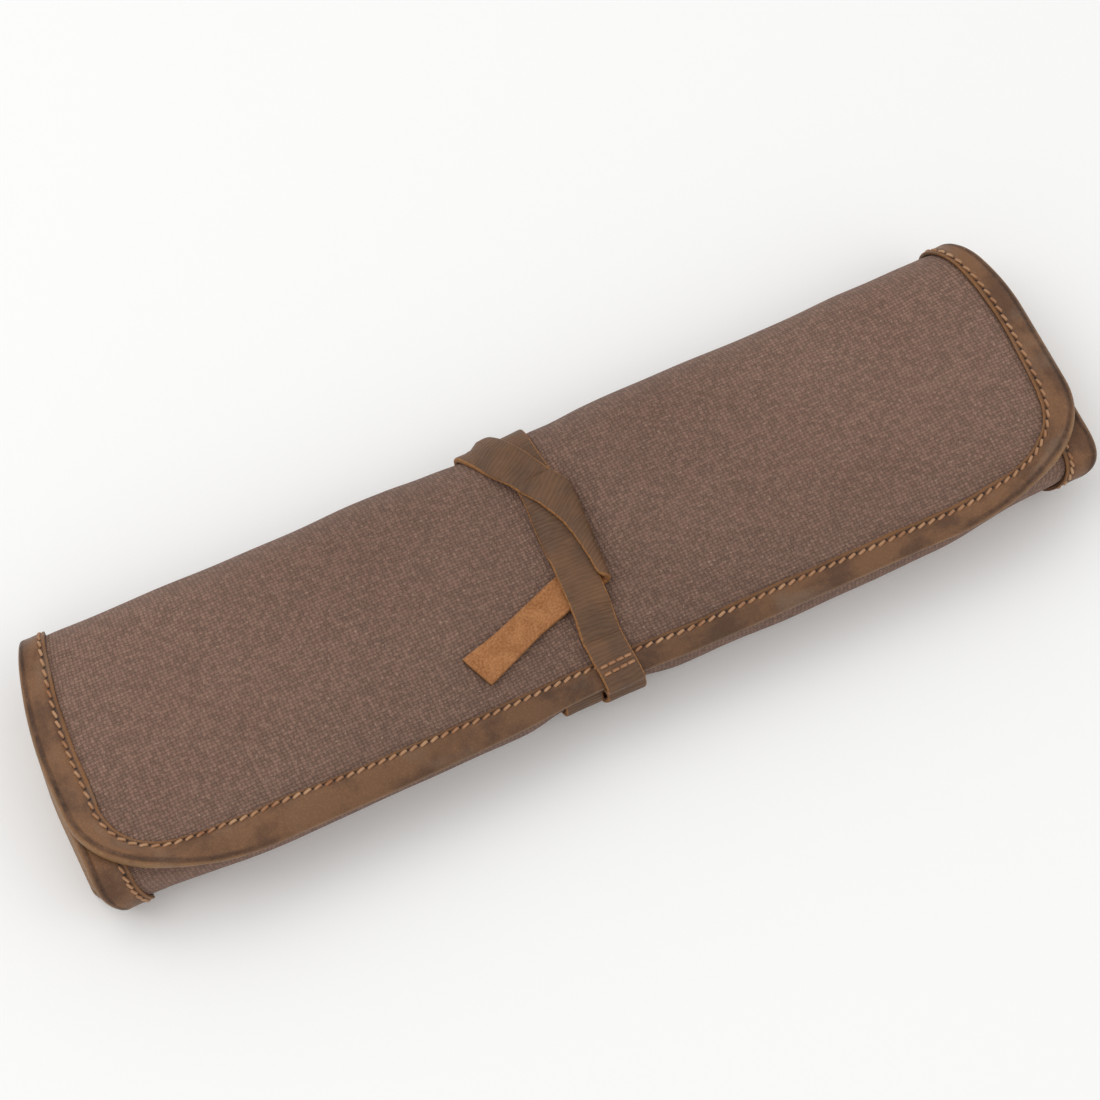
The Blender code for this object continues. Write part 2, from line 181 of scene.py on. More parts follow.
def run_along(points):
    """The distance along a line of points, at each of them."""
    return np.concatenate([[0.0], np.cumsum(np.linalg.norm(np.diff(points, axis=0), axis=1))])


def winding():
    """Pieces of the way wound: start, length, centres, angles and radii at both ends."""
    pieces = []
    start = 0.0
    front = FLAP_CENTRE
    for lap in range(3):
        radius = LAP_RADIUS - lap * LAP_PITCH
        turns = [
            (front, front, FLAP_ANGLE, 0.0, radius),
            (front, BACK_CENTRE, 0.0, 0.0, radius),
            (BACK_CENTRE, BACK_CENTRE, 0.0, -math.pi, radius),
            (BACK_CENTRE, FRONT_CENTRE, math.pi, math.pi, radius),
            (FRONT_CENTRE, FRONT_CENTRE, math.pi, FLAP_ANGLE, radius - LAP_PITCH),
        ]
        for centre_a, centre_b, angle_a, angle_b, radius_b in turns:
            length = abs(centre_b - centre_a) + abs(angle_b - angle_a) * radius
            pieces.append((start, length, centre_a, centre_b, angle_a, angle_b, radius, radius_b))
            start += length
        front = FRONT_CENTRE
    outside = [
        (FLAP_CENTRE, FLAP_CENTRE, FLAP_ANGLE, 0.0),
        (FLAP_CENTRE, BACK_CENTRE, 0.0, 0.0),
        (BACK_CENTRE, BACK_CENTRE, 0.0, -math.pi),
        (BACK_CENTRE, FRONT_CENTRE, math.pi, math.pi),
        (FRONT_CENTRE, FLAP_CENTRE, math.pi, FLAP_ANGLE),
    ]
    start = -LOOP
    for centre_a, centre_b, angle_a, angle_b in outside:
        length = abs(centre_b - centre_a) + abs(angle_b - angle_a) * LAP_RADIUS
        pieces.append(
            (start, length, centre_a, centre_b, angle_a, angle_b, LAP_RADIUS, LAP_RADIUS)
        )
        start += length
    return sorted(pieces)


PIECES = winding()
LAP_STARTS = [piece[0] for piece in PIECES]
SHEET_END = PIECES[-2][0] + PIECES[-2][1] - INNER_END
# The place high on the front, beneath the flap's edge, where the strap's first end is tucked in.
UNDER_FLAP = PIECES[9][0] + (math.pi - math.radians(70.0)) * LAP_RADIUS


def dent(x, t):
    """How far the second lap gives way under the strap's tucked end."""
    across = ramp(abs(x - DENT_PLACE), *DENT_ACROSS)
    behind = t - UNDER_FLAP
    along = ramp(behind, -16.0, -2.0) * ramp(behind, 26.0, 12.0)
    return STRAP_DENT * across * along


def section(x, t):
    """The unsettled section's (front, up) at the canvas's outer face."""
    index = np.clip(np.searchsorted(LAP_STARTS, t, side="right") - 1, 0, len(PIECES) - 1)
    table = np.array(PIECES)[index]
    share = (t - table[..., 0]) / table[..., 1]
    centre = table[..., 2] + (table[..., 3] - table[..., 2]) * share
    angle = table[..., 4] + (table[..., 5] - table[..., 4]) * share
    shrink = 0.5 * share + 0.5 * ramp(share, 0.0, 1.0)
    radius = table[..., 6] + (table[..., 7] - table[..., 6]) * shrink - dent(x, t)
    return centre + radius * np.sin(angle), LAP_RADIUS + radius * np.cos(angle)


def settled(x, front, up):
    """Where a point of the section comes to rest: the ends are lifted and the strap pulls in."""
    share = up / HEIGHT
    off_grip = abs(x - GRIP_PLACE)
    bound = ramp(abs(x), *LIFTED_ENDS)
    groove = ramp(off_grip, GRIP_FLAT + GRIP_SOFT, GRIP_FLAT)
    valley = ramp(off_grip, GRIP_REACH, 5.0)
    base = BINDING_OUT * bound + (2.0 * LAYER) * groove
    crown = CROWN * (1.0 - 0.5 * bound) * (1.0 - (front / CROWN_REACH) ** 2)
    top = HEIGHT + BINDING_OUT * bound + crown - GRIP_TOP * valley
    height = base + share * (top - base)

    at_left = swell(-x, *DRAWN_ENDS)
    at_right = swell(x, *DRAWN_ENDS)
    low = ramp(up, 24.0, 0.0)
    forward = ramp(front, 0.0, 34.0)
    along = x
    along = along + LEFT_DRAWN_IN * at_left * swell(front, 6.0, -46.0)
    along = along - RIGHT_DRAWN_IN * at_right * swell(front, -12.0, -45.0)
    along = along + LOW_FRONT_DRAWN_IN * (at_left - at_right) * low * ramp(front, 29.0, 44.0)
    across = front * (1.0 - GRIP_SIDES * valley)
    across = across + LOW_FRONT_FLARE * low * forward * (1.0 - bound)
    across = across + LEFT_FLARE * (1.0 - low) * forward * ramp(x, 20.0, -70.0)
    across = across - (RIGHT_TAPER + RIGHT_LOW_TAPER * low) * forward * swell(x, 100.0, 170.0)
    return np.stack([along, -across, height], axis=-1)


def face_point(x, t):
    """A point of the canvas's outer face, settled."""
    front, up = section(x, t)
    return settled(x, front, up)


def placed(x, t, out):
    """The point that stands `out` off the canvas's outer face at (x, t)."""
    x, t, out = np.broadcast_arrays(*(np.asarray(v, dtype=float) for v in (x, t, out)))
    step = 0.25
    along = face_point(x + step, t) - face_point(x - step, t)
    around = face_point(x, t + step) - face_point(x, t - step)
    normal = unit(np.cross(along, around))
    return face_point(x, t) + normal * (out + uneven(x, t))[..., None]


def uneven(x, t):
    """Low swells of the soft canvas, which the leather on it follows."""
    swells = 0.0
    for run, way, turn, size in SWELLS:
        swells = swells + size * np.sin(2.0 * math.pi * (x / run + t / way) + turn)
    free = ramp(abs(x), 150.0, 120.0)
    beside_strap = ramp(abs(x - 7.0), 7.0, 15.0)
    on_top = ramp(t, 12.0, 26.0) * ramp(t, TOP_START + 40.0, TOP_START + 20.0)
    ripples = 0.0
    for place, lean, width, size in RIPPLES:
        off = (x - place - lean * (t - 50.0)) / width
        ripples = ripples + size * np.exp(-off * off)
    first = ramp(t, LOOP - 12.0, LOOP - 32.0)
    return swells * free * beside_strap * first * ramp(t, 4.0, 24.0) + ripples * on_top


# Swells: length along x, length along t, phase, height.
SWELLS = (
    (83.0, 61.0, 0.4, 0.16),
    (-57.0, 90.0, 1.9, 0.14),
    (41.0, -74.0, 3.1, 0.10),
    (29.0, 47.0, 5.2, 0.06),
)
# Ripples pressed up beside the strap: x where t is 50, lean, half width, height.
RIPPLES = (
    (24.0, -0.16, 3.4, 0.55),
    (31.5, -0.22, 3.0, 0.28),
    (-9.0, -0.10, 4.0, 0.30),
)


def canvas_side(t, side):
    """The x of the canvas's edge at t, in from the sheet's bound edge by what the binding hides."""
    share = np.clip((CORNER_DEPTH - t) / (CORNER_DEPTH - HIDDEN), 0.0, 1.0)
    inset = HIDDEN + (CORNER_LENGTH - HIDDEN) * (1.0 - np.sqrt(np.maximum(0.0, 1.0 - share**2)))
    return side * (0.5 * SHEET_LENGTH - inset) + SHEET_SHIFT


def across_sheet(t, columns):
    """The x of even columns from the canvas's left edge to its right one, at each t."""
    left = canvas_side(t, -1.0)
    right = canvas_side(t, 1.0)
    return left + (right - left) * np.linspace(0.0, 1.0, columns)


# The strap's route. Each row is (x, t) of its centre.


def over(front):
    """The t on the top that lies `front` forward of the middle, on the first lap."""
    return TOP_START - front


ROUTE_STEP = 4.0
FIRST_PASS = (
    (-5.7, UNDER_FLAP + TUCKED),
    (-5.6, UNDER_FLAP - 6.0),
    (-5.4, UNDER_FLAP - 27.0),
    (-2.2, UNDER_FLAP - 50.0),
    (3.0, UNDER_FLAP - 72.0),
    (7.2, UNDER_FLAP - 90.0),
    (8.8, UNDER_FLAP - 112.0),
    (8.6, over(-34.7)),
    (9.6, over(-22.0)),
    (8.4, over(-7.4)),
    (7.8, over(3.4)),
    (6.7, over(20.6)),
    (5.3, 10.7),
    (6.0, 2.0),
)
SECOND_PASS = (
    (6.1, 0.4),
    (6.2, -0.8),
    (6.2, -1.6),
    (6.3, -2.4),
    (6.4, -3.6),
    (6.7, -6.0),
    (7.4, -14.0),
    (7.3, -36.0),
    (3.6, -69.0),
    (0.6, -101.0),
    (-0.6, -117.0),
    (-0.9, over(-44.7) - LOOP),
    (3.0, over(-35.7) - LOOP),
)
# Height of the second pass's middle where it leaves the flap's edge: place on the way wound, height.
BRIDGE = (
    (-44.0, 1.2),
    (-40.0, 1.2),
    (-33.0, -0.3),
    (-26.0, -2.6),
    (-18.0, -4.6),
    (-10.0, -5.4),
    (-6.0, -4.6),
    (-3.6, -2.6),
    (-2.4, -0.8),
    (-1.6, 0.6),
    (-0.8, 1.8),
    (0.4, 2.5),
)
# Rows of the fold round the first pass: left edge (x, front), right edge (x, front), laid open.
FOLD_ROWS = (
    ((2.3, -24.7), (13.0, -30.6)),
    ((7.7, -13.8), (17.4, -20.6)),
    ((10.4, -7.6), (20.8, -14.6)),
    ((12.0, -0.2), (23.3, -7.0)),
    ((12.8, 7.4), (25.4, -0.4)),
    ((13.6, 14.2), (26.6, 4.6)),
)
# Rows of the free tail, where it lies: lower edge, upper edge.
TAIL_ROWS = (
    ((9.6, 16.4), (5.6, 6.0)),
    ((1.6, 19.4), (-2.6, 8.9)),
    ((-13.0, 25.0), (-17.4, 14.4)),
    ((-28.2, 30.6), (-33.0, 19.8)),
)
TAIL_BENEATH = ((17.2, -23.0), (14.0, 0.0), (11.4, 10.5), (2.0, 13.6), (-10.0, 18.4), (-31.0, 25.0))


def spline(rows, spacing):
    """A smooth curve through the rows, sampled about every `spacing` along the first two columns."""
    rows = np.array(rows, dtype=float)
    place = run_along(rows)
    slope = np.gradient(rows, place, axis=0)
    out = []
    for i in range(len(rows) - 1):
        span = place[i + 1] - place[i]
        count = max(1, round(span / spacing))
        for step in range(count):
            u = step / count
            out.append(
                (2 * u**3 - 3 * u**2 + 1) * rows[i]
                + (u**3 - 2 * u**2 + u) * span * slope[i]
                + (3 * u**2 - 2 * u**3) * rows[i + 1]
                + (u**3 - u**2) * span * slope[i + 1]
            )
    out.append(rows[-1])
    return np.array(out)


def away_from(x, y, line):
    """Distance of points in the flat from a line of corners."""
    line = np.array(line)
    nearest = np.full(np.shape(x), np.inf)
    for a, b in zip(line[:-1], line[1:]):
        reach = b - a
        share = ((x - a[0]) * reach[0] + (y - a[1]) * reach[1]) / float(reach @ reach)
        share = np.clip(share, 0.0, 1.0)
        distance = np.hypot(x - a[0] - share * reach[0], y - a[1] - share * reach[1])
        nearest = np.minimum(nearest, distance)
    return nearest


def fold_frame():
    """The fold line's place, its direction and its outward side, in (x, front)."""
    along = np.array([math.sin(FOLD_ANGLE), math.cos(FOLD_ANGLE)])
    outward = np.array([math.cos(FOLD_ANGLE), -math.sin(FOLD_ANGLE)])
    return np.array(FOLD_PLACE), along, outward


def laid_open(point):
    """Where a point of the tail would lie if the fold were opened out."""
    place, along, outward = fold_frame()
    offset = np.array(point) - place
    beyond = math.pi * LAYER - float(offset @ outward)
    opened = place + along * float(offset @ along) + outward * beyond
    return tuple(opened)


def raised_by_tail(x, t):
    """0 to 1: how far the first pass is raised by the tail beneath it."""
    front = TOP_START - t
    distance = away_from(x, front, TAIL_BENEATH)
    return ramp(distance, 14.5, 8.5) * ramp(t, 72.0, 70.0)


def first_pass_height(x, t):
    """Height of the strap's middle on its first pass."""
    on_binding = ramp(t - BINDING_WIDTH, 4.0, 1.0)
    return GAP + 0.5 * STRAP + BINDING_OUT * on_binding + LAYER * raised_by_tail(x, t)


def second_pass_height(x, t, line):
    """Height of the strap's middle on its second pass, over the first one."""
    bridging = ramp(t, -38.0, -26.0)
    distance = away_from(x, t + LOOP, line)
    on_first = ramp(distance - 0.5 * STRAP_WIDTH, 5.5, 1.0) * (1.0 - bridging)
    over_tail = on_first * raised_by_tail(x, t + LOOP)
    places, heights = zip(*BRIDGE)
    return np.interp(t, places, heights) + LAYER * on_first + LAYER * over_tail


def folded(x, t, line):
    """The fold wrapped round the first pass: x, t and height of points laid open."""
    place, along, outward = fold_frame()
    front = TOP_START - (t + LOOP)
    beyond = (x - place[0]) * outward[0] + (front - place[1]) * outward[1]
    level = (x - place[0]) * along[0] + (front - place[1]) * along[1]
    low = GAP + 0.5 * STRAP
    edge_x = place[0] + along[0] * level
    edge_t = TOP_START - (place[1] + along[1] * level) - LOOP
    high = second_pass_height(edge_x, edge_t, line)
    radius = 0.5 * (high - low)
    turn = np.clip(beyond / radius, 0.0, math.pi)
    side = np.where(beyond < 0.0, beyond, radius * np.sin(turn))
    side = np.where(beyond > math.pi * radius, math.pi * radius - beyond, side)
    height = low + radius * (1.0 + np.cos(turn))
    height = np.where(beyond < 0.0, second_pass_height(x, t, line), height)
    new_x = place[0] + along[0] * level + outward[0] * side
    new_front = place[1] + along[1] * level + outward[1] * side
    return new_x, TOP_START - new_front - LOOP, height


def strap_grid(spacing, shares):
    """The strap's middle face: places, and (x, t) of each, in rows along it."""
    smooth = spline(FIRST_PASS + SECOND_PASS, ROUTE_STEP)
    tangent = unit(np.gradient(smooth, axis=0))
    beside = np.stack([tangent[:, 1], -tangent[:, 0]], axis=1) * (0.5 * STRAP_WIDTH)
    rows = [(*a, *b) for a, b in zip(smooth + beside, smooth - beside)][:-1]
    first_rows = len(rows)
    for a, b in FOLD_ROWS + tuple((laid_open(a), laid_open(b)) for a, b in TAIL_ROWS):
        rows.append((a[0], over(a[1]) - LOOP, b[0], over(b[1]) - LOOP))
    # Both edges count in a row's distance from the next, so it is longer than along one.
    step = spacing * 1.4
    fine = spline(rows, step)
    starts = len(spline(rows[: first_rows + 1], step)) - 1
    x = fine[:, 0:1] * (1.0 - shares) + fine[:, 2:3] * shares
    t = fine[:, 1:2] * (1.0 - shares) + fine[:, 3:4] * shares
    line = spline(FIRST_PASS, ROUTE_STEP)
    first = first_pass_height(x, t)
    second = second_pass_height(x, t, line)
    height = np.where(t >= 0.0, first, second)
    fold_x, fold_t, fold_height = folded(x[starts:], t[starts:], line)
    x[starts:] = fold_x
    t[starts:] = fold_t
    height[starts:] = fold_height
    return placed(x, t, height)


# The binding's strip.

# Across it, as (depth from the canvas's edge, out): from the inner edge on top to the fold.
OUTER_PROFILE = (
    (11.45, 1.02), (11.50, 1.22), (11.36, 1.38), (11.05, 1.46), (10.70, 1.44), (10.30, 1.30),
    (9.90, 1.12), (9.50, 1.05), (9.10, 1.12), (8.60, 1.28), (7.80, 1.36), (6.60, 1.34), (5.20, 1.32),
    (3.80, 1.36), (2.60, 1.42), (1.70, 1.42), (0.95, 1.22), (0.42, 0.80), (0.12, 0.20),
)
INNER_PROFILE = ((1.30, -CANVAS - 0.28), (1.10, -1.0), (1.30, 0.28), (6.0, GAP), (11.45, GAP))


def binding_profile():
    """Points across the strip as (depth, out): both outer faces, then back along the inside."""
    middle = -0.5 * CANVAS
    outer = list(OUTER_PROFILE) + [(0.02, middle)]
    outer += [(depth, 2.0 * middle - out) for depth, out in reversed(OUTER_PROFILE)]
    inner = [(11.45, -CANVAS - GAP), (6.0, -CANVAS - GAP)] + list(INNER_PROFILE)
    return np.array(outer), np.array(inner)


STRIP_WIDTH = float(run_along(binding_profile()[0])[-1])


# How finely the sheet's edge is followed: spacing on the ends, points on a corner and the front.
END_STEP = 1.5
CORNER_POINTS = 61
FRONT_POINTS = 160


def edge_line(step):
    """Stations along the sheet's bound edge, and the distance along its stitch line at each.

    A station is x, t, inward x, inward t, stitch depth and the strip's width.
    """
    half = 0.5 * SHEET_LENGTH
    count = int((SHEET_END - CORNER_DEPTH) / END_STEP)
    ends = np.linspace(CORNER_DEPTH, SHEET_END, count)
    rows = [(SHEET_SHIFT - half, t, 1.0, 0.0) for t in ends[:0:-1]]
    angles = np.radians(np.linspace(0.0, 90.0, CORNER_POINTS))
    for side in (-1.0, 1.0):
        turn = []
        for angle in angles:
            cut = CORNER_LENGTH * (1.0 - math.cos(angle))
            x = side * (half - cut) + SHEET_SHIFT
            t = CORNER_DEPTH * (1.0 - math.sin(angle))
            inward = (-side * CORNER_DEPTH * math.cos(angle), CORNER_LENGTH * math.sin(angle))
            size = math.hypot(*inward)
            turn.append((x, t, inward[0] / size, inward[1] / size))
        if side < 0.0:
            rows += turn
            first, last = turn[-1][0], 2.0 * SHEET_SHIFT - turn[-1][0]
            rows += [(x, 0.0, 0.0, 1.0) for x in np.linspace(first, last, FRONT_POINTS)[1:-1]]
        else:
            rows += turn[::-1]
    rows += [(SHEET_SHIFT + half, t, -1.0, 0.0) for t in ends[1:]]
    rows = np.array(rows)
    edge = run_along(rows[:, 0:2])
    edge -= 0.5 * edge[-1]
    places, depths, widths = np.array(SEWN_LINE).T
    depth = np.interp(edge, places, depths)
    width = np.interp(edge, places, widths)
    rows = np.concatenate([rows, depth[:, None], width[:, None]], axis=1)
    line = rows[:, 0:2] + rows[:, 2:4] * rows[:, 4:5]
    run = run_along(line)
    even = np.linspace(0.0, run[-1], int(run[-1] / step) + 1)
    out = np.stack([np.interp(even, run, rows[:, i]) for i in range(6)], axis=1)
    out[:, 2:4] = unit(out[:, 2:4])
    return out, even


def as_sewn(depth, stitch_depth, width):
    """The nominal profile's depths moved to where the stitch line and the strip's edge really lie."""
    within = (depth - FOLD_DEPTH) / (STITCH_DEPTH - FOLD_DEPTH)
    beyond = (depth - STITCH_DEPTH) / (BINDING_WIDTH - STITCH_DEPTH)
    moved = FOLD_DEPTH + within * (stitch_depth - FOLD_DEPTH)
    moved = np.where(depth > STITCH_DEPTH, stitch_depth + beyond * (width - stitch_depth), moved)
    return np.where(depth < FOLD_DEPTH, depth, moved)


# Making meshes.


def to_frame():
    """How far the roll's own origin lies from the CAD's, from the canvas node's box."""
    t = np.arange(HIDDEN, SHEET_END, 0.6)[:, None]
    places = face_point(across_sheet(t, 161), t).reshape(-1, 3)
    low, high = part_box("canvas_roll")
    centre = 0.5 * (np.array(low) + np.array(high))
    own = 0.5 * (places.min(axis=0) + places.max(axis=0)) * MM
    return centre - own


def mesh_piece(name, points, faces, uvs, materials, kinds=None):
    """A piece from points in millimetres, pressed flat where it rests.

    The texture coordinates come in millimetres too, one pair for each point, and go in as metres.
    `kinds` gives each face the number of its material.
    """
    mesh = bpy.data.meshes.new(name)
    resting = np.array(points, dtype=float)
    resting[:, 2] = np.maximum(resting[:, 2], 0.0)
    places = resting * MM + SHIFT
    mesh.from_pydata(places.tolist(), [], faces)
    mesh.polygons.foreach_set("use_smooth", [True] * len(mesh.polygons))
    if kinds is not None:
        mesh.polygons.foreach_set("material_index", kinds)
    layer = mesh.uv_layers.new(name="surface")
    loops = np.zeros(len(mesh.loops), dtype=np.int64)
    mesh.loops.foreach_get("vertex_index", loops)
    layer.data.foreach_set("uv", uvs[loops].astype(np.float32).ravel() * MM)
    for material in materials:
        mesh.materials.append(material)
    mesh.update()
    piece = bpy.data.objects.new(name, mesh)
    bpy.context.scene.collection.objects.link(piece)
    return piece


def ring_faces(count, size):
    """Quads between rings that follow one another."""
    i = np.arange(count - 1)[:, None] * size
    j = np.arange(size)[None, :]
    a = i + j
    b = i + (j + 1) % size
    return np.stack([a, a + size, b + size, b], axis=-1).reshape(-1, 4).tolist()


def strip_cap(size):
    """Cap of a flat ring: its first half runs one way on one face, its second half back."""
    return [(j, j + 1, size - 2 - j, size - 1 - j) for j in range(size // 2 - 1)]


def tube_faces(count, size, cap):
    """Quads between rings, with both ends closed by the cap's faces, given as places in a ring."""
    last = (count - 1) * size
    starts = [tuple(face) for face in cap]
    ends = [tuple(index + last for index in reversed(face)) for face in cap]
    return ring_faces(count, size) + starts + ends


def tube_piece(name, rings, cap, uvs, materials, kinds=None):
    """A piece made of rings that follow one another, closed at both ends."""
    faces = tube_faces(*rings.shape[:2], cap)
    return mesh_piece(name, rings.reshape(-1, 3), faces, uvs, materials, kinds)


SHIFT = to_frame()


# Materials.


def linear(code):
    """A colour's linear values from its sRGB hex code."""
    values = [int(code[i : i + 2], 16) / 255.0 for i in (1, 3, 5)]
    return tuple(v / 12.92 if v <= 0.04045 else ((v + 0.055) / 1.055) ** 2.4 for v in values)


def add_node(tree, kind, inputs=(), **settings):
    """Adds a shader node with its settings and inputs.

    The inputs are a dict by name, or a list in the order in which the node shows them. Each is a
    value, a socket to link, or a node whose shown output is linked.
    """
    node = tree.nodes.new("ShaderNode" + kind)
    for name, value in settings.items():
        setattr(node, name, value)
    if isinstance(inputs, dict):
        pairs = [(node.inputs[name], value) for name, value in inputs.items()]
    else:
        pairs = zip([socket for socket in node.inputs if socket.enabled], inputs)
    for socket, value in pairs:
        if isinstance(value, bpy.types.Node):
            value = next(output for output in value.outputs if output.enabled)
        if isinstance(value, bpy.types.NodeSocket):
            tree.links.new(value, socket)
        elif socket.type == "RGBA":
            socket.default_value = (*value, 1.0)
        else:
            socket.default_value = value
    return node


def new_material(name):
    """An empty material, and its node tree."""
    material = bpy.data.materials.new(name)
    material.use_nodes = True
    material.node_tree.nodes.clear()
    return material, material.node_tree


def canvas_material(settings):
    """Waxed cotton duck, plain woven: matt, with round threads and painted shade in the gaps between
    them.
    """
    material, tree = new_material("waxed_cotton_duck")
    # Duck of this weight has about 0.8 mm from thread to thread. The defaults, 1.35 and 1.05 mm, are
    # coarser, because finer threads would blur away at the photograph's distance.
    across_warp = settings.warp_spacing * MM
    across_weft = settings.weft_spacing * MM
    uv = add_node(tree, "UVMap", uv_map="surface")
    drift = add_node(tree, "TexNoise", {"Vector": uv, "Scale": 1.0 / (9.0 * MM), "Detail": 2.0})
    wander = 1.6 * MM
    drifted = add_node(
        tree, "VectorMath", [drift.outputs["Color"], (wander, wander, 0.0), uv],
        operation="MULTIPLY_ADD",
    )
    threads = add_node(
        tree, "VectorMath", [drifted, (math.pi / across_warp, math.pi / across_weft, 0.0)],
        operation="MULTIPLY",
    )
    axes = add_node(tree, "SeparateXYZ", [threads])
    warp = add_node(tree, "Math", [axes.outputs["X"]], operation="SINE")
    weft = add_node(tree, "Math", [axes.outputs["Y"]], operation="SINE")
    warp_round = add_node(tree, "Math", [warp], operation="ABSOLUTE")
    weft_round = add_node(tree, "Math", [weft], operation="ABSOLUTE")
    crossing = add_node(tree, "Math", [warp, weft], operation="MULTIPLY")
    above = add_node(tree, "MapRange", {"Value": crossing, "From Min": -0.25, "From Max": 0.25})
    height = add_node(tree, "Mix", [above, weft_round, warp_round], data_type="FLOAT")
    # Each crossing of threads takes the dye a little differently, and some threads are paler. That
    # changes at once from thread to thread, and slowly along each.
    cell = add_node(tree, "VectorMath", [threads, 1.0 / math.pi], operation="SCALE")
    one_cell = add_node(tree, "VectorMath", [cell], operation="FLOOR")
    speckle = add_node(tree, "TexWhiteNoise", {"Vector": one_cell}, noise_dimensions="2D")
    warp_lane = add_node(tree, "VectorMath", [one_cell, (1.7, 0.21, 0.0)], operation="MULTIPLY")
    weft_lane = add_node(tree, "VectorMath", [one_cell, (0.21, 1.7, 0.0)], operation="MULTIPLY")
    warp_slub = add_node(tree, "TexNoise", {"Vector": warp_lane, "Scale": 1.0, "Detail": 0.0})
    weft_slub = add_node(tree, "TexNoise", {"Vector": weft_lane, "Scale": 1.0, "Detail": 0.0})
    slub = add_node(tree, "Mix", [above, weft_slub, warp_slub], data_type="FLOAT")
    # Wax lies a little unevenly, in slow drifts a few centimetres wide.
    patches = add_node(
        tree, "TexNoise", {"Vector": uv, "Scale": 1.0 / (48.0 * MM), "Detail": 3.0, "Roughness": 0.55}
    )
    ground = add_node(tree, "Mix", [patches, settings.colour, settings.rubbed_colour], data_type="RGBA")
    speckle_tone = add_node(tree, "MapRange", {"Value": speckle, "To Min": 0.82, "To Max": 1.18})
    thread_tone = add_node(
        tree, "MapRange",
        {"Value": slub, "From Min": 0.30, "From Max": 0.70, "To Min": 0.97, "To Max": 1.03},
    )
    # Painted shade darkens the gaps between threads, and a painted highlight lightens the thread tops.
    gap_shade_tone = add_node(
        tree, "MapRange",
        {"Value": height, "From Min": 0.20, "From Max": 0.85, "To Min": 0.64, "To Max": 1.10},
    )
    both_tones = add_node(tree, "Math", [thread_tone, gap_shade_tone], operation="MULTIPLY")
    thread_by_thread = add_node(tree, "Math", [both_tones, speckle_tone], operation="MULTIPLY")
    # The canvas is darker beside the strap and along the flap's front: painted shade of the strap and
    # the flap, partly wear from hands.
    place = add_node(tree, "SeparateXYZ", [uv])
    off_middle = add_node(tree, "Math", [place.outputs["X"]], operation="ABSOLUTE")
    end_tone = add_node(
        tree, "MapRange",
        {
            "Value": off_middle, "From Min": 30.0 * MM, "From Max": 145.0 * MM,
            "To Min": 0.95, "To Max": 1.08,
        },
        interpolation_type="SMOOTHSTEP",
    )
    flap_tone = add_node(
        tree, "MapRange",
        {
            "Value": place.outputs["Y"], "From Min": 5.0 * MM, "From Max": 50.0 * MM,
            "To Min": 0.91, "To Max": 1.02,
        },
        interpolation_type="SMOOTHSTEP",
    )
    strap_and_flap_shade = add_node(tree, "Math", [end_tone, flap_tone], operation="MULTIPLY")
    tone = add_node(tree, "Math", [thread_by_thread, strap_and_flap_shade], operation="MULTIPLY")
    toned = add_node(tree, "VectorMath", [ground, tone], operation="SCALE")
    # Here and there a bare cotton fibre stands out of the wax as a pale fleck under a millimetre wide.
    fibres = add_node(
        tree, "TexNoise", {"Vector": uv, "Scale": 1.0 / (0.9 * MM), "Detail": 2.0, "Roughness": 0.6}
    )
    fleck = add_node(
        tree, "MapRange", {"Value": fibres, "From Min": 0.60, "From Max": 0.72, "To Max": 0.8},
        interpolation_type="SMOOTHSTEP",
    )
    colour = add_node(tree, "Mix", [fleck, toned, settings.fleck_colour], data_type="RGBA")
    surface = add_node(tree, "Math", [fibres, 0.5, height], operation="MULTIPLY_ADD")
    bump = add_node(tree, "Bump", {"Height": surface, "Strength": 0.9, "Distance": 0.26 * MM})
    roughness = add_node(
        tree, "MapRange",
        {"Value": patches, "From Min": 0.3, "From Max": 0.7, "To Min": 0.70, "To Max": 0.86},
    )
    shader = add_node(
        tree, "BsdfPrincipled",
        {
            "Base Color": colour, "Roughness": roughness, "Normal": bump, "Specular IOR Level": 0.25,
            "Sheen Weight": 0.05, "Sheen Roughness": 0.6,
        },
    )
    add_node(tree, "OutputMaterial", {"Surface": shader})
    return material


def leather_grain(tree, uv, cell, relief, stretch=(1.0, 1.0, 1.0)):
    """Height of a leather's grain: pebbles of `cell` metres parted by fine creases."""
    spread = add_node(tree, "VectorMath", [uv, stretch], operation="MULTIPLY")
    wander = add_node(tree, "TexNoise", {"Vector": spread, "Scale": 0.5 / cell, "Detail": 2.0})
    bent = add_node(
        tree, "VectorMath", [wander.outputs["Color"], (1.6 * cell,) * 3, spread],
        operation="MULTIPLY_ADD",
    )
    cells = add_node(
        tree, "TexVoronoi", {"Vector": bent, "Scale": 1.0 / cell}, feature="DISTANCE_TO_EDGE"
    )
    pebbles = add_node(
        tree, "MapRange", {"Value": cells, "From Min": 0.0, "From Max": 0.28},
        interpolation_type="SMOOTHSTEP",
    )
    pores = add_node(
        tree, "TexNoise", {"Vector": spread, "Scale": 2.6 / cell, "Detail": 4.0, "Roughness": 0.65}
    )
    return add_node(tree, "Math", [pebbles, relief, pores], operation="MULTIPLY_ADD")


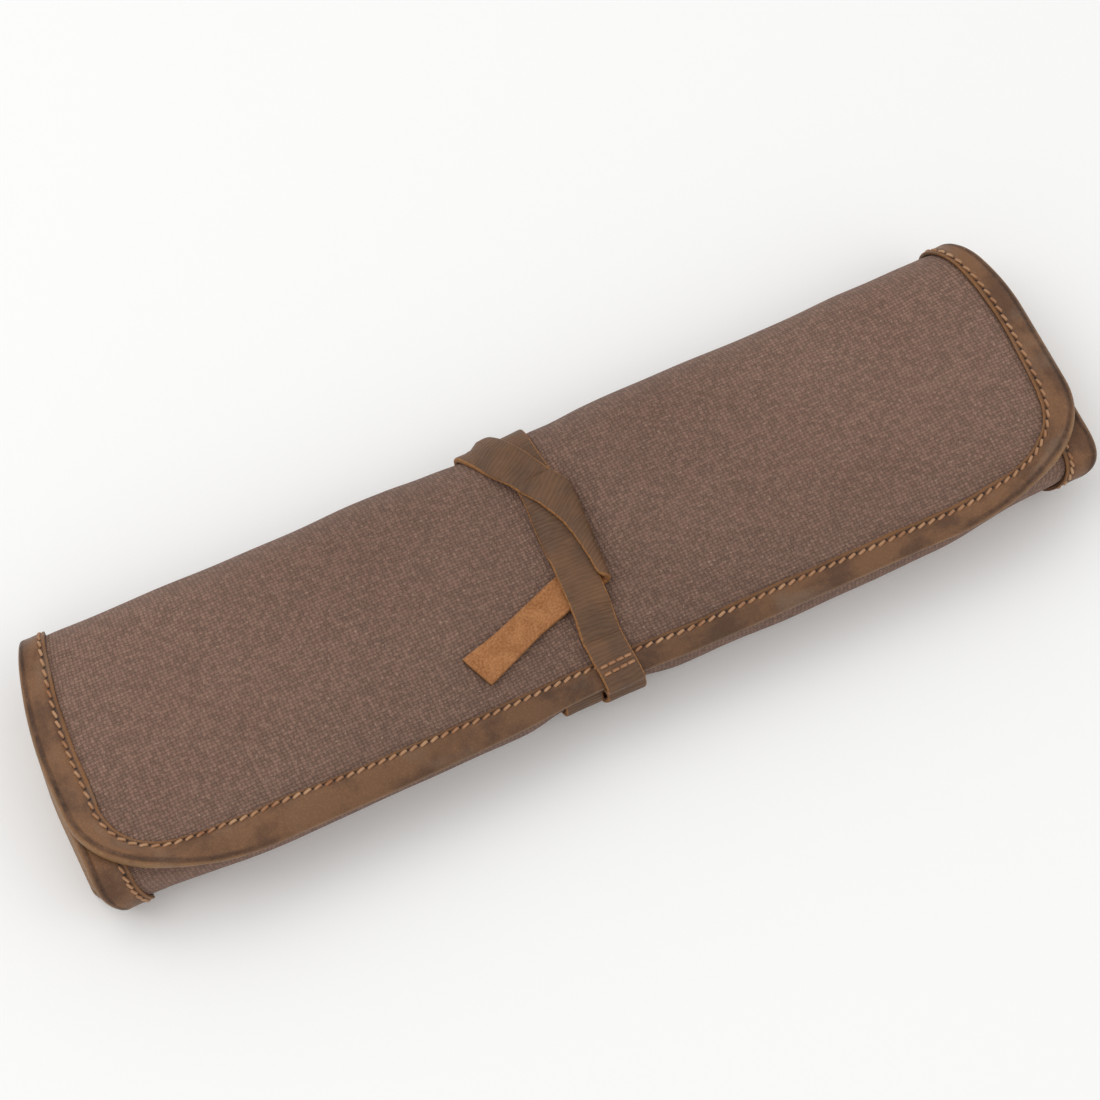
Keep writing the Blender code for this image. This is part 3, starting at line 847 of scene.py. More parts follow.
def binding_material(settings):
    """Oiled pull-up leather: waxy and uneven, dark where oil gathers, pale along worn rims that also
    carry a painted highlight, with painted sheen and painted shade in places.
    """
    material, tree = new_material("oiled_pull_up_leather")
    uv = add_node(tree, "UVMap", uv_map="surface")
    place = add_node(tree, "SeparateXYZ", [uv])
    clouds = add_node(
        tree, "TexNoise", {"Vector": uv, "Scale": 1.0 / (16.0 * MM), "Detail": 5.0, "Roughness": 0.62}
    )
    oiled = add_node(
        tree, "MapRange", {"Value": clouds, "From Min": 0.36, "From Max": 0.58},
        interpolation_type="SMOOTHSTEP",
    )
    base = add_node(tree, "Mix", [oiled, settings.oiled_colour, settings.colour], data_type="RGBA")
    # Rims: across the strip, 0 at one inner edge, the fold in the middle, the other edge at the end.
    middle = 0.5 * STRIP_WIDTH * MM
    off_fold = add_node(tree, "Math", [place.outputs["Y"], middle], operation="SUBTRACT")
    from_fold = add_node(tree, "Math", [off_fold], operation="ABSOLUTE")
    # The pale rim along the fold is partly wear and partly a painted highlight where the fold catches
    # light.
    rim = add_node(
        tree, "MapRange",
        {"Value": from_fold, "From Min": 3.0 * MM, "From Max": 1.6 * MM, "To Max": 0.7},
        interpolation_type="SMOOTHSTEP",
    )
    lip = add_node(
        tree, "MapRange",
        {"Value": from_fold, "From Min": middle - 1.9 * MM, "From Max": middle - 0.9 * MM},
        interpolation_type="SMOOTHSTEP",
    )
    rubs = add_node(
        tree, "TexNoise", {"Vector": uv, "Scale": 1.0 / (5.0 * MM), "Detail": 4.0, "Roughness": 0.7}
    )
    rubbed = add_node(
        tree, "MapRange",
        {"Value": rubs, "From Min": 0.35, "From Max": 0.65, "To Min": 0.25, "To Max": 0.85},
    )
    rim_wear_and_highlight = add_node(tree, "Math", [rim, rubbed], operation="MULTIPLY")
    worn_lip = add_node(tree, "Math", [lip, rubbed], operation="MULTIPLY")
    with_rim = add_node(tree, "Mix", [rim_wear_and_highlight, base, settings.rubbed_colour], data_type="RGBA")
    with_rims = add_node(tree, "Mix", [worn_lip, with_rim, settings.lip_colour], data_type="RGBA")
    # Greyish patches a centimetre or two across: partly wax risen to the surface, partly painted sheen.
    bloom_and_sheen_noise = add_node(
        tree, "TexNoise", {"Vector": uv, "Scale": 1.0 / (23.0 * MM), "Detail": 3.0, "Distortion": 0.6}
    )
    bloom_and_sheen = add_node(
        tree, "MapRange", {"Value": bloom_and_sheen_noise, "From Min": 0.56, "From Max": 0.72, "To Max": 0.45},
        interpolation_type="SMOOTHSTEP",
    )
    waxed = add_node(tree, "Mix", [bloom_and_sheen, with_rims, settings.bloom_and_sheen_colour], data_type="RGBA")
    # The stitch line is pressed in, with a needle hole at each end of every stitch, and both are
    # darkened with painted shade.
    off_line = add_node(
        tree, "Math", [from_fold, middle - (BINDING_WIDTH - STITCH_DEPTH) * MM], operation="SUBTRACT"
    )
    to_line = add_node(tree, "Math", [off_line], operation="ABSOLUTE")
    groove = add_node(
        tree, "MapRange",
        {"Value": to_line, "From Min": 1.1 * MM, "From Max": 0.25 * MM, "To Max": 0.45},
        interpolation_type="SMOOTHSTEP",
    )
    pitch = add_node(tree, "Math", [place.outputs["X"], settings.stitch_pitch * MM], operation="DIVIDE")
    phase = add_node(tree, "Math", [pitch], operation="FRACT")
    off_hole = add_node(tree, "Math", [phase, 0.5], operation="PINGPONG")
    hole_along = add_node(
        tree, "MapRange", {"Value": off_hole, "From Min": 0.17, "From Max": 0.04},
        interpolation_type="SMOOTHSTEP",
    )
    hole_across = add_node(
        tree, "MapRange", {"Value": to_line, "From Min": 0.75 * MM, "From Max": 0.30 * MM},
        interpolation_type="SMOOTHSTEP",
    )
    hole = add_node(tree, "Math", [hole_along, hole_across], operation="MULTIPLY")
    dark = add_node(tree, "Math", [groove, hole], operation="MAXIMUM")
    # Round the flap's corners the strip has rolled: a crease runs inside the rim, darkened with painted
    # shade.
    where = add_node(tree, "TexCoord")
    whole = add_node(tree, "SeparateXYZ", [where.outputs["Object"]])
    off_middle = add_node(tree, "Math", [whole.outputs["X"]], operation="ABSOLUTE")
    near_corner = add_node(
        tree, "MapRange", {"Value": off_middle, "From Min": 105.0 * MM, "From Max": 132.0 * MM},
        interpolation_type="SMOOTHSTEP",
    )
    off_crease = add_node(tree, "Math", [from_fold, settings.crease_depth * MM], operation="SUBTRACT")
    to_crease = add_node(tree, "Math", [off_crease], operation="ABSOLUTE")
    in_crease = add_node(
        tree, "MapRange", {"Value": to_crease, "From Min": 1.1 * MM, "From Max": 0.1 * MM},
        interpolation_type="SMOOTHSTEP",
    )
    rolled = add_node(tree, "Math", [near_corner, in_crease], operation="MULTIPLY")
    crease = add_node(tree, "Math", [rolled, rubbed], operation="MULTIPLY")
    stitch_and_crease_shade = add_node(tree, "Math", [dark, crease], operation="MAXIMUM")
    # Fine grain takes the dye unevenly. Real pores are about 0.3 mm apart and are drawn at 0.9 mm,
    # since finer ones wouldn't show.
    grain = leather_grain(tree, uv, 0.9 * MM, 0.45)
    grain_tone = add_node(
        tree, "MapRange",
        {"Value": grain, "From Min": 0.55, "From Max": 1.25, "To Min": 0.84, "To Max": 1.14},
    )
    # The leather is drawn darker in the middle of the roll's length and paler toward its ends.
    end_tone = add_node(
        tree, "MapRange",
        {
            "Value": off_middle, "From Min": 20.0 * MM, "From Max": 150.0 * MM,
            "To Min": 0.81, "To Max": 1.12,
        },
    )
    shade = add_node(tree, "Math", [grain_tone, end_tone], operation="MULTIPLY")
    grained = add_node(tree, "VectorMath", [waxed, shade], operation="SCALE")
    colour = add_node(tree, "Mix", [stitch_and_crease_shade, grained, settings.painted_shade_colour], data_type="RGBA")
    relief = add_node(tree, "Math", [rolled, -4.0, grain], operation="MULTIPLY_ADD")
    bump = add_node(tree, "Bump", {"Height": relief, "Strength": 0.6, "Distance": 0.12 * MM})
    gloss = add_node(
        tree, "MapRange",
        {"Value": rubs, "From Min": 0.3, "From Max": 0.7, "To Min": 0.38, "To Max": 0.60},
    )
    shader = add_node(
        tree, "BsdfPrincipled",
        {
            "Base Color": colour, "Roughness": gloss, "Normal": bump, "Specular IOR Level": 0.30,
            "Coat Weight": 0.03, "Coat Roughness": 0.45,
        },
    )
    add_node(tree, "OutputMaterial", {"Surface": shader})
    return material


def strap_material(settings):
    """Grain side of a cut strap: a waxed finish cracked into fine creases across its width."""
    material, tree = new_material("creased_grain_leather")
    uv = add_node(tree, "UVMap", uv_map="surface")
    clouds = add_node(
        tree, "TexNoise", {"Vector": uv, "Scale": 1.0 / (15.0 * MM), "Detail": 5.0, "Roughness": 0.6}
    )
    tone = add_node(
        tree, "MapRange", {"Value": clouds, "From Min": 0.34, "From Max": 0.68},
        interpolation_type="SMOOTHSTEP",
    )
    base = add_node(
        tree, "Mix", [tone, settings.grain_colour, settings.grain_light_colour], data_type="RGBA"
    )
    # Creases across the strap, a little over a millimetre apart, and each waving as it goes.
    lengthwise = add_node(tree, "VectorMath", [uv, (1.0, 0.30, 1.0)], operation="MULTIPLY")
    folds = add_node(
        tree, "TexWave",
        {
            "Vector": lengthwise, "Scale": 0.1 * math.pi / (settings.crease_spacing * MM),
            "Distortion": 14.0, "Detail": 3.0, "Detail Scale": 0.40, "Detail Roughness": 0.6,
        },
        wave_type="BANDS", bands_direction="X",
    )
    # Painted shade in the creases' hollows, and a little painted light on their ridges.
    crease_shade_tone = add_node(
        tree, "MapRange", {"Value": folds.outputs["Fac"], "To Min": 0.88, "To Max": 1.07}
    )
    creases = leather_grain(tree, uv, settings.crease_spacing * MM, 0.8, (1.0, 0.22, 1.0))
    rubbed = add_node(
        tree, "MapRange", {"Value": creases, "From Min": 0.95, "From Max": 1.45, "To Max": 0.35}
    )
    worn = add_node(tree, "Mix", [rubbed, base, settings.grain_light_colour], data_type="RGBA")
    colour = add_node(tree, "VectorMath", [worn, crease_shade_tone], operation="SCALE")
    relief = add_node(tree, "Math", [folds.outputs["Fac"], creases], operation="ADD")
    bump = add_node(tree, "Bump", {"Height": relief, "Strength": 0.9, "Distance": 0.14 * MM})
    gloss = add_node(
        tree, "MapRange",
        {"Value": clouds, "From Min": 0.3, "From Max": 0.7, "To Min": 0.42, "To Max": 0.62},
    )
    shader = add_node(
        tree, "BsdfPrincipled",
        {"Base Color": colour, "Roughness": gloss, "Normal": bump, "Specular IOR Level": 0.30},
    )
    add_node(tree, "OutputMaterial", {"Surface": shader})
    return material


def flesh_material(settings):
    """Flesh side of the strap: sueded, matt and fibrous."""
    material, tree = new_material("sueded_flesh_side")
    uv = add_node(tree, "UVMap", uv_map="surface")
    nap = add_node(
        tree, "TexNoise", {"Vector": uv, "Scale": 1.0 / (0.8 * MM), "Detail": 5.0, "Roughness": 0.7}
    )
    brushed = add_node(
        tree, "TexNoise", {"Vector": uv, "Scale": 1.0 / (6.0 * MM), "Detail": 3.0, "Distortion": 0.8}
    )
    tone = add_node(tree, "Math", [brushed, 0.35, nap], operation="MULTIPLY_ADD")
    mixed = add_node(tree, "MapRange", {"Value": tone, "From Min": 0.54, "From Max": 0.81})
    colour = add_node(
        tree, "Mix", [mixed, settings.flesh_colour, settings.flesh_light_colour], data_type="RGBA"
    )
    bump = add_node(tree, "Bump", {"Height": nap, "Strength": 0.7, "Distance": 0.12 * MM})
    shader = add_node(
        tree, "BsdfPrincipled",
        {
            "Base Color": colour, "Roughness": 0.92, "Normal": bump, "Specular IOR Level": 0.2,
            "Sheen Weight": 0.08, "Sheen Roughness": 0.5,
        },
    )
    add_node(tree, "OutputMaterial", {"Surface": shader})
    return material


def cut_edge_material(settings):
    """Raw cut edge of leather: undyed fibre, darkened in streaks by handling."""
    material, tree = new_material("raw_cut_leather_edge")
    uv = add_node(tree, "UVMap", uv_map="surface")
    fibre = add_node(
        tree, "TexNoise", {"Vector": uv, "Scale": 1.0 / (1.4 * MM), "Detail": 4.0, "Roughness": 0.7}
    )
    mixed = add_node(tree, "MapRange", {"Value": fibre, "From Min": 0.35, "From Max": 0.65})
    colour = add_node(
        tree, "Mix", [mixed, settings.edge_dark_colour, settings.edge_colour], data_type="RGBA"
    )
    bump = add_node(tree, "Bump", {"Height": fibre, "Strength": 0.6, "Distance": 0.10 * MM})
    shader = add_node(tree, "BsdfPrincipled", {"Base Color": colour, "Roughness": 0.75, "Normal": bump})
    add_node(tree, "OutputMaterial", {"Surface": shader})
    return material


def thread_material(settings):
    """Waxed linen thread: two plies twisted together, with a soft waxy gloss."""
    material, tree = new_material("waxed_linen_thread")
    uv = add_node(tree, "UVMap", uv_map="surface")
    twist = add_node(
        tree, "TexWave", {"Vector": uv, "Scale": 0.5 / (0.9 * MM), "Distortion": 0.6},
        wave_type="BANDS", bands_direction="DIAGONAL",
    )
    grime = add_node(tree, "TexNoise", {"Vector": uv, "Scale": 1.0 / (11.0 * MM), "Detail": 3.0})
    mixed = add_node(tree, "MapRange", {"Value": grime, "From Min": 0.35, "From Max": 0.65})
    colour = add_node(
        tree, "Mix", [mixed, settings.thread_dark_colour, settings.thread_colour], data_type="RGBA"
    )
    bump = add_node(
        tree, "Bump", {"Height": twist.outputs["Fac"], "Strength": 0.6, "Distance": 0.08 * MM}
    )
    shader = add_node(tree, "BsdfPrincipled", {"Base Color": colour, "Roughness": 0.55, "Normal": bump})
    add_node(tree, "OutputMaterial", {"Surface": shader})
    return material


def floor_material(settings):
    """Matt white background paper."""
    material, tree = new_material("matt_background_paper")
    shader = add_node(tree, "BsdfPrincipled", {"Base Color": settings.floor_colour, "Roughness": 0.9})
    add_node(tree, "OutputMaterial", {"Surface": shader})
    return material


# Pieces.

# Rows of the canvas's mesh: fine on the lap that shows, wider on the inner ones.
FINE_ROW = 1.8
WIDE_ROW = 3.0
CORNER_ROWS = 31
CANVAS_COLUMNS = 151
# Steps along the binding, along its stitch line and along the strap.
BINDING_STEP = 0.9
STITCH_LINE_STEP = 0.5
STRAP_STEP = 0.75
# How the leather gives way under the stitches: how deep, and how far to each side.
PUCKER_DEPTH = 0.10
PUCKER_REACH = 0.9
# Waves of the strip's cut edge: length over two pi, phase, height.
CUT_WAVES = ((6.3, 0.0, 0.10), (2.9, 1.0, 0.07))
# The binding's stitches: their part of the pitch, their slant, and how far out the thread lies.
STITCH_SHARE = 0.86
STITCH_SLANT = 0.30
THREAD_OUT = 1.05


def make_canvas(settings):
    """The wound sheet, closed at its edges."""
    corner = np.sin(np.radians(np.linspace(90.0, 0.0, CORNER_ROWS)))
    inner_laps = LOOP + 20.0
    rows_t = np.concatenate([
        CORNER_DEPTH - (CORNER_DEPTH - HIDDEN) * corner,
        np.arange(CORNER_DEPTH + FINE_ROW, inner_laps, FINE_ROW),
        np.arange(inner_laps, SHEET_END - 0.5 * WIDE_ROW, WIDE_ROW),
        [SHEET_END],
    ])[:, None]
    x = across_sheet(rows_t, CANVAS_COLUMNS)
    t = np.broadcast_to(rows_t, x.shape)
    outer = placed(x, t, 0.0)
    inner = placed(x, t, -CANVAS)
    rings = np.concatenate([outer, inner[:, ::-1]], axis=1)
    flat = np.stack([x, t], axis=-1)
    uvs = np.concatenate([flat, flat[:, ::-1]], axis=1).reshape(-1, 2)
    cap = strip_cap(rings.shape[1])
    return tube_piece("canvas_roll_cloth", rings, cap, uvs, [canvas_material(settings)])


def make_binding(settings):
    """The folded strip, with the leather puckered along its stitches and a wavy cut edge."""
    line, run = edge_line(BINDING_STEP)
    outer, inner = binding_profile()
    profile = np.concatenate([outer, inner])
    depth, out = profile[:, 0], profile[:, 1]
    phase = np.cos(2.0 * math.pi * run / settings.stitch_pitch)[:, None]
    near = np.exp(-(((depth - STITCH_DEPTH) / PUCKER_REACH) ** 2))
    near = near * (np.arange(len(depth)) < len(outer))
    pucker = -PUCKER_DEPTH * phase * near * np.sign(out + 0.5 * CANVAS)
    waves = sum(size * np.sin(run / length + turn) for length, turn, size in CUT_WAVES)
    lip = np.exp(-((depth - BINDING_WIDTH) ** 2))
    deep = as_sewn(depth[None, :], line[:, 4:5], line[:, 5:6]) + waves[:, None] * lip[None, :]
    x = line[:, 0:1] + line[:, 2:3] * deep
    t = line[:, 1:2] + line[:, 3:4] * deep
    rings = placed(x, t, out[None, :] + pucker)
    across = run_along(outer)
    across = np.concatenate([across, np.full(len(inner), across[-1] - 2.0)])
    uvs = np.stack(np.broadcast_arrays(run[:, None], across[None, :]), axis=-1).reshape(-1, 2)
    cap = [range(len(profile))]
    piece = tube_piece("edge_binding_leather", rings, cap, uvs, [binding_material(settings)])
    return piece, run[-1]


# One stitch: places along its half length, and its height and thickness there in diameters.
STITCH_ALONG = np.array([-1.0, -0.86, -0.55, 0.0, 0.55, 0.86, 1.0])
STITCH_LIFT = np.array([-0.55, -0.05, 0.24, 0.32, 0.24, -0.05, -0.55])
STITCH_THICK = np.array([0.55, 0.85, 1.0, 1.0, 1.0, 0.85, 0.55])
STITCH_SIDES = 8


def make_stitches(name, spot, reach, length, settings, side=1.0):
    """Thread lying in short arcs whose ends go down into the leather.

    `spot` gives the stitches' places, moved by an offset along the row and a height over it. Places
    `reach` to either side give the thread's direction, and `side` is -1 on the reverse.
    """
    diameter = settings.thread_diameter
    places = spot(0.0, 0.0)
    directions = unit(spot(reach, 0.0) - spot(-reach, 0.0))
    normals = unit((spot(0.0, 0.1) - places) * side)
    beside = unit(np.cross(directions, normals))
    turn = np.arange(STITCH_SIDES) * 2.0 * math.pi / STITCH_SIDES
    half = STITCH_ALONG * 0.5 * length
    centres = (
        places[:, None, :]
        + directions[:, None, :] * half[None, :, None]
        + normals[:, None, :] * (STITCH_LIFT * diameter)[None, :, None]
    )
    spread = (
        normals[:, None, None, :] * np.cos(turn)[None, None, :, None]
        + beside[:, None, None, :] * np.sin(turn)[None, None, :, None]
    ) * (STITCH_THICK * 0.5 * diameter)[None, :, None, None]
    points = (centres[:, :, None, :] + spread).reshape(-1, 3)
    size = len(half) * STITCH_SIDES
    one = tube_faces(len(half), STITCH_SIDES, [range(STITCH_SIDES)])
    faces = []
    for start in range(0, len(places) * size, size):
        faces += [tuple(index + start for index in face) for face in one]
    # Each stitch takes its texture from further along the thread.
    run = (np.arange(len(places)) * length * 1.3)[:, None, None]
    u = run + half[None, :, None]
    v = (turn * 0.5 * diameter)[None, None, :]
    uvs = np.stack(np.broadcast_arrays(u, v), axis=-1).reshape(-1, 2)
    return mesh_piece(name, points, faces, uvs, [thread_material(settings)])


def make_binding_stitches(settings):
    """The row of stitches along the binding on its top, and the one on its reverse."""
    line, run = edge_line(STITCH_LINE_STEP)
    pitch = settings.stitch_pitch
    length = pitch * STITCH_SHARE
    centres = np.arange(1.5 * pitch, run[-1] - pitch, pitch)
    pieces = []
    for name, out, side in (("top", THREAD_OUT, 1.0), ("reverse", -CANVAS - THREAD_OUT, -1.0)):

        def spot(offset, extra):
            here = np.stack([np.interp(centres + offset, run, line[:, i]) for i in range(5)], axis=1)
            deep = here[:, 4] + offset * STITCH_SLANT * side
            return placed(here[:, 0] + here[:, 2] * deep, here[:, 1] + here[:, 3] * deep, out + extra)

        pieces.append(make_stitches(
            f"binding_stitches_{name}", spot, 0.3 * length, length, settings, side,
        ))
    return pieces


# The strap's section: places across it, and its thickness there.
STRAP_SHARES = np.array([0.0, 0.025, 0.07, 0.16, 0.3, 0.5, 0.7, 0.84, 0.93, 0.975, 1.0])
STRAP_ROUND = np.array([0.62, 0.88, 0.985, 1.0, 1.0, 1.0, 1.0, 1.0, 0.985, 0.88, 0.62])
# How far its cut edge bulges.
EDGE_BULGE = 0.12
# The order of the strap's materials.
GRAIN, FLESH, CUT_EDGE = range(3)


def make_strap(settings):
    """The strap along its whole route, its grain, flesh side and cut edges told apart."""
    grid = strap_grid(STRAP_STEP, STRAP_SHARES)
    along = np.gradient(grid, axis=0)
    across = np.gradient(grid, axis=1)
    out = unit(np.cross(along, across)) * (0.5 * STRAP * STRAP_ROUND)[None, :, None]
    right = grid[:, -1:] + EDGE_BULGE * unit(across[:, -1:])
    left = grid[:, :1] - EDGE_BULGE * unit(across[:, :1])
    rings = np.concatenate([grid + out, right, (grid - out)[:, ::-1], left], axis=1)
    run = run_along(grid[:, len(STRAP_SHARES) // 2])
    wide = STRAP_SHARES * STRAP_WIDTH
    v = np.concatenate([wide, [STRAP_WIDTH + 1.0], 2.0 * STRAP_WIDTH + 2.0 - wide[::-1], [-1.0]])
    uvs = np.stack(np.broadcast_arrays(run[:, None], v[None, :]), axis=-1).reshape(-1, 2)
    inside = len(STRAP_SHARES) - 3
    one_ring = [CUT_EDGE] + [GRAIN] * inside + [CUT_EDGE] * 3 + [FLESH] * (inside + 2) + [CUT_EDGE] * 2
    kinds = one_ring * (len(rings) - 1) + [CUT_EDGE] * 2
    materials = [strap_material(settings), flesh_material(settings), cut_edge_material(settings)]
    piece = tube_piece("strap_leather", rings, [range(len(one_ring))], uvs, materials, kinds)
    return piece, run[-1]


# Where the strap is sewn to the flap: t of each row at the strap's left and right edges.
SEWN_ROWS = ((6.2, 6.4), (4.1, 4.5))
STITCHES_IN_ROW = 4
STRAP_STITCH = 2.6
# How far from the strap's edges a row ends, and how far the thread sinks into the leather.
ROW_MARGIN = 0.8
THREAD_SUNK = 0.08


def make_strap_stitches(settings):
    """Rows of stitches across the strap, over the flap's edge."""
    route = np.array(FIRST_PASS)
    shares = (np.arange(STITCHES_IN_ROW) + 0.5) / STITCHES_IN_ROW
    pieces = []
    for number, (left_t, right_t) in enumerate(SEWN_ROWS, start=1):

        def spot(offset, extra):
            share = shares + offset
            t = left_t + (right_t - left_t) * share
            centre = np.interp(-t, -route[:, 1], route[:, 0])
            x = centre + (share - 0.5) * (STRAP_WIDTH - 2.0 * ROW_MARGIN)
            return placed(x, t, first_pass_height(x, t) + 0.5 * STRAP - THREAD_SUNK + extra)

        pieces.append(make_stitches(f"strap_stitches_{number}", spot, 0.08, STRAP_STITCH, settings))
    return pieces


# The user's sizes and colours.


def colour_property(name, description, code):
    """A colour that the user can change, with its default as a hex code."""
    return FloatVectorProperty(
        name=name, description=description, subtype="COLOR", default=linear(code),
    )


class BrushRollCanvas(bpy.types.PropertyGroup):
    warp_spacing: FloatProperty(
        name="Warp spacing", description="Between threads along the roll, mm", default=1.35,
        min=0.3, max=3.0,
    )
    weft_spacing: FloatProperty(
        name="Weft spacing", description="Between threads around the roll, mm", default=1.05,
        min=0.3, max=3.0,
    )
    colour: colour_property("Colour", "Waxed canvas", "#76584a")
    rubbed_colour: colour_property("Rubbed colour", "Where the wax is thin", "#84695b")
    fleck_colour: colour_property("Fleck colour", "Bare fibres out of the wax", "#a58c79")


class BrushRollBinding(bpy.types.PropertyGroup):
    stitch_pitch: FloatProperty(
        name="Stitch pitch", description="Distance from stitch to stitch, mm", default=3.4,
        min=2.0, max=8.0,
    )
    thread_diameter: FloatProperty(
        name="Thread diameter", description="Sewing thread, mm", default=0.95, min=0.3, max=1.5,
    )
    colour: colour_property("Colour", "Leather", "#7d583b")
    oiled_colour: colour_property("Oiled colour", "Dark patches", "#5f412c")
    # Worn rims, which also carry the painted highlight along the fold.
    rubbed_colour: colour_property("Rubbed colour", "Worn rims", "#a17c52")
    crease_depth: FloatProperty(
        name="Crease depth", description="From the fold to the crease at the corners, mm",
        default=3.4, min=1.0, max=8.0,
    )
    lip_colour: colour_property("Lip colour", "Inner edge of the strip", "#83582f")
    # The wax bloom's grey, which also stands for painted sheen.
    bloom_and_sheen_colour: colour_property("Wax bloom colour", "Greyish wax on the surface", "#7d6857")
    # Painted shade of the stitch line, the needle holes and the corner creases.
    painted_shade_colour: colour_property("Needle hole colour", "Stitch line's shade", "#2e1b10")
    thread_colour: colour_property("Thread colour", "Waxed thread", "#c09670")
    thread_dark_colour: colour_property("Soiled thread colour", "Where it is dirty", "#96633f")


class BrushRollStrap(bpy.types.PropertyGroup):
    crease_spacing: FloatProperty(
        name="Crease spacing", description="Between creases across the strap, mm", default=1.3,
        min=0.5, max=4.0,
    )
    grain_colour: colour_property("Grain colour", "Outer face", "#5d4431")
    grain_light_colour: colour_property("Rubbed grain colour", "High places", "#735239")
    flesh_colour: colour_property("Flesh side colour", "Suede", "#8d5a34")
    flesh_light_colour: colour_property("Brushed flesh colour", "Raised nap", "#b07b50")
    edge_colour: colour_property("Cut edge colour", "Raw leather", "#a8743f")
    edge_dark_colour: colour_property("Soiled edge colour", "Handled edge", "#6f4826")


class BrushRollStage(bpy.types.PropertyGroup):
    floor_colour: colour_property("Floor colour", "Background paper", "#fdfdfc")
    camera_distance: FloatProperty(
        name="Camera distance", description="From the roll's middle", default=1.2, unit="LENGTH",
        min=0.3, max=5.0,
    )


class ROLL_OT_canvas(bpy.types.Operator):
    """Adds the wound sheet of waxed canvas"""

    bl_idname = "brush_roll.canvas"
    bl_label = "Add canvas"

    def execute(self, context):
        piece = make_canvas(context.scene.brush_roll_canvas)
        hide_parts("canvas_roll")
        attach(piece, BODY)
        return {"FINISHED"}


class ROLL_OT_binding(bpy.types.Operator):
    """Adds the leather strip folded over the canvas's edge"""

    bl_idname = "brush_roll.binding"
    bl_label = "Add binding"

    def execute(self, context):
        piece, length = make_binding(context.scene.brush_roll_binding)
        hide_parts("edge_binding")
        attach(piece, BODY)
        return {"FINISHED"}


class ROLL_OT_binding_stitches(bpy.types.Operator):
    """Adds the row of stitches along the binding, on both of its faces"""

    bl_idname = "brush_roll.binding_stitches"
    bl_label = "Add binding stitches"

    def execute(self, context):
        for piece in make_binding_stitches(context.scene.brush_roll_binding):
            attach(piece, BODY)
        return {"FINISHED"}


class ROLL_OT_strap(bpy.types.Operator):
    """Adds the leather strap, wound twice round and tucked"""

    bl_idname = "brush_roll.strap"
    bl_label = "Add strap"

    def execute(self, context):
        piece, length = make_strap(context.scene.brush_roll_strap)
        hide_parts("strap")
        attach(piece, BODY)
        return {"FINISHED"}


class ROLL_OT_strap_stitches(bpy.types.Operator):
    """Adds the two rows of stitches that hold the strap to the flap"""

    bl_idname = "brush_roll.strap_stitches"
    bl_label = "Add strap stitches"

    def execute(self, context):
        for piece in make_strap_stitches(context.scene.brush_roll_binding):
            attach(piece, BODY)
        return {"FINISHED"}


# The stage: how the photograph was taken.
CAMERA_TURN = math.radians(-25.6)
CAMERA_RISE = math.radians(66.5)
CAMERA_LENS = 126.65
CAMERA_SENSOR = 36.0
CAMERA_SHIFT = (0.008, 0.0427)
CAMERA_CLIP = (0.05, 20.0)
FLOOR_REACH = 6.0
SKY_STRENGTH = 0.70
# Soft lights aimed at the roll: name, place, width in metres, power in watts.
LIGHTS = (
    ("soft_light_above", (-0.6, 0.5, 1.35), 1.4, 7.5),
    ("soft_light_front", (0.7, -0.9, 1.1), 1.2, 3.0),
)


def add_light(name, place, size, power):
    """A square soft light that looks at the roll."""
    light = bpy.data.lights.new(name, "AREA")
    light.shape = "SQUARE"
    light.size = size
    light.energy = power
    lamp = bpy.data.objects.new(name, light)
    lamp.location = place
    lamp.rotation_euler = (-Vector(place)).to_track_quat("-Z", "Y").to_euler()
    bpy.context.scene.collection.objects.link(lamp)


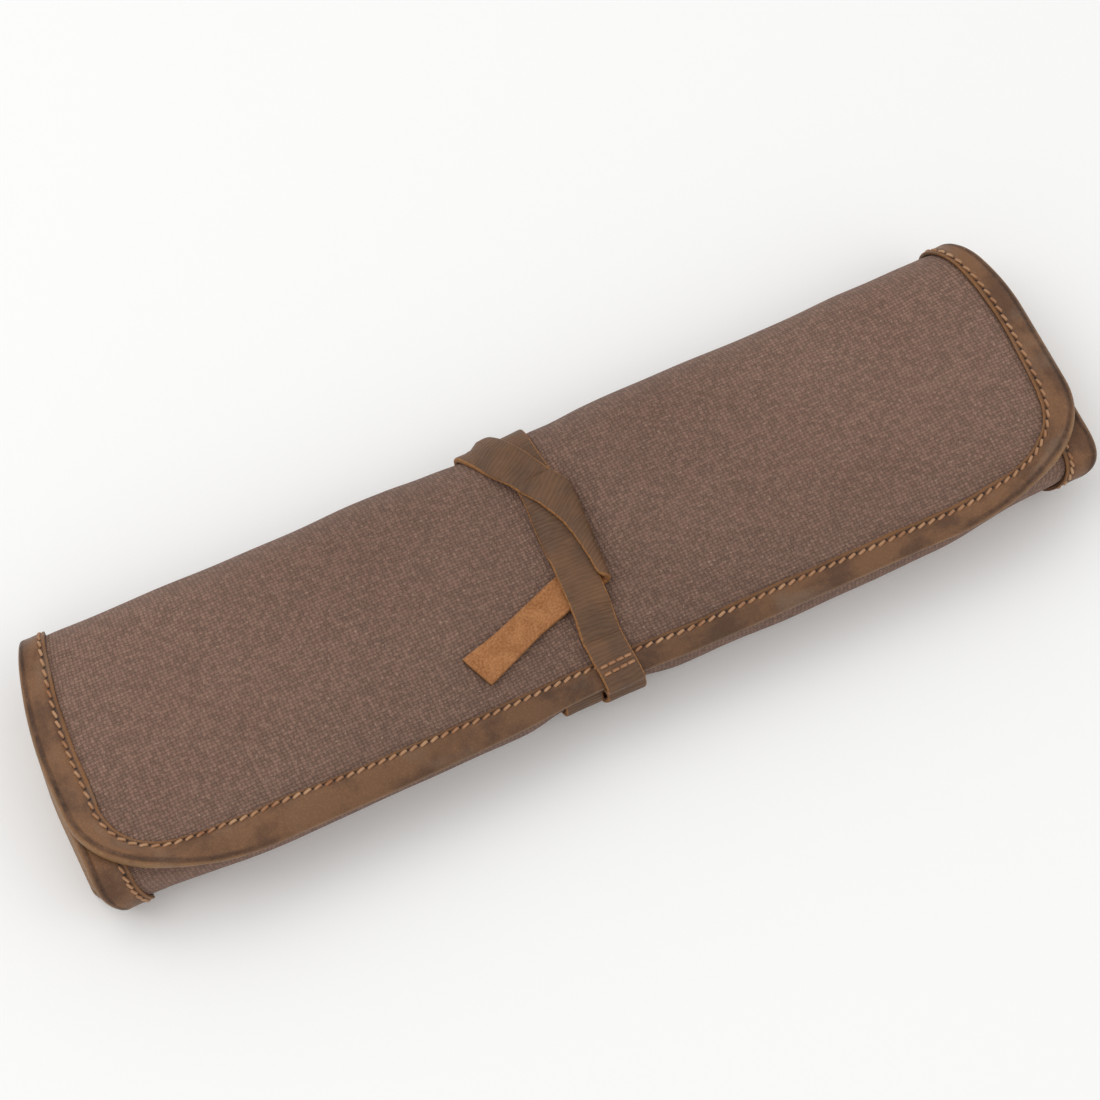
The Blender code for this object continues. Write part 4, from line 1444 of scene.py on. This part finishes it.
class ROLL_OT_stage(bpy.types.Operator):
    """Adds the floor, the soft lights and the camera"""

    bl_idname = "brush_roll.stage"
    bl_label = "Add stage"

    def execute(self, context):
        settings = context.scene.brush_roll_stage
        mesh = bpy.data.meshes.new("stage_floor")
        signs = ((-1, -1), (1, -1), (1, 1), (-1, 1))
        corners = [(x * FLOOR_REACH, y * FLOOR_REACH, 0.0) for x, y in signs]
        mesh.from_pydata(corners, [], [(0, 1, 2, 3)])
        floor = bpy.data.objects.new("stage_floor", mesh)
        context.scene.collection.objects.link(floor)
        floor.data.materials.append(floor_material(settings))

        world = bpy.data.worlds.new("studio")
        world.use_nodes = True
        background = world.node_tree.nodes["Background"]
        background.inputs["Color"].default_value = (1.0, 1.0, 1.0, 1.0)
        background.inputs["Strength"].default_value = SKY_STRENGTH
        context.scene.world = world
        context.scene.view_settings.view_transform = "Standard"
        for light in LIGHTS:
            add_light(*light)

        aim = Vector(SHIFT)
        direction = Vector((
            math.sin(CAMERA_TURN) * math.cos(CAMERA_RISE),
            -math.cos(CAMERA_TURN) * math.cos(CAMERA_RISE),
            math.sin(CAMERA_RISE),
        ))
        lens = bpy.data.cameras.new("photo_camera")
        lens.lens = CAMERA_LENS
        lens.sensor_width = CAMERA_SENSOR
        lens.shift_x, lens.shift_y = CAMERA_SHIFT
        lens.clip_start, lens.clip_end = CAMERA_CLIP
        camera = bpy.data.objects.new("photo_camera", lens)
        camera.location = aim + direction * settings.camera_distance
        camera.rotation_euler = (-direction).to_track_quat("-Z", "Y").to_euler()
        context.scene.collection.objects.link(camera)
        context.scene.camera = camera
        return {"FINISHED"}


class ROLL_PT_panel(bpy.types.Panel):
    bl_idname = "ROLL_PT_panel"
    bl_label = "Artist brush roll"
    bl_space_type = "VIEW_3D"
    bl_region_type = "UI"
    bl_category = "Brush roll"

    def draw(self, context):
        column = self.layout.column()
        scene = context.scene
        for group in GROUPS:
            settings = getattr(scene, group)
            for name in settings.bl_rna.properties.keys():
                if name not in ("rna_type", "name"):
                    column.prop(settings, name)
        for operator in OPERATORS:
            column.operator(operator.bl_idname)


GROUPS = {
    "brush_roll_canvas": BrushRollCanvas,
    "brush_roll_binding": BrushRollBinding,
    "brush_roll_strap": BrushRollStrap,
    "brush_roll_stage": BrushRollStage,
}
OPERATORS = (
    ROLL_OT_stage,
    ROLL_OT_canvas,
    ROLL_OT_binding,
    ROLL_OT_binding_stitches,
    ROLL_OT_strap,
    ROLL_OT_strap_stitches,
)


def register():
    for name, group in GROUPS.items():
        bpy.utils.register_class(group)
        setattr(bpy.types.Scene, name, PointerProperty(type=group))
    for operator in OPERATORS:
        bpy.utils.register_class(operator)
    bpy.utils.register_class(ROLL_PT_panel)


def unregister():
    bpy.utils.unregister_class(ROLL_PT_panel)
    for operator in reversed(OPERATORS):
        bpy.utils.unregister_class(operator)
    for name, group in GROUPS.items():
        delattr(bpy.types.Scene, name)
        bpy.utils.unregister_class(group)


def main():
    register()
    bpy.ops.brush_roll.stage()
    bpy.ops.brush_roll.canvas()
    bpy.ops.brush_roll.binding()
    bpy.ops.brush_roll.binding_stitches()
    bpy.ops.brush_roll.strap()
    bpy.ops.brush_roll.strap_stitches()


if __name__ == "__main__":
    main()
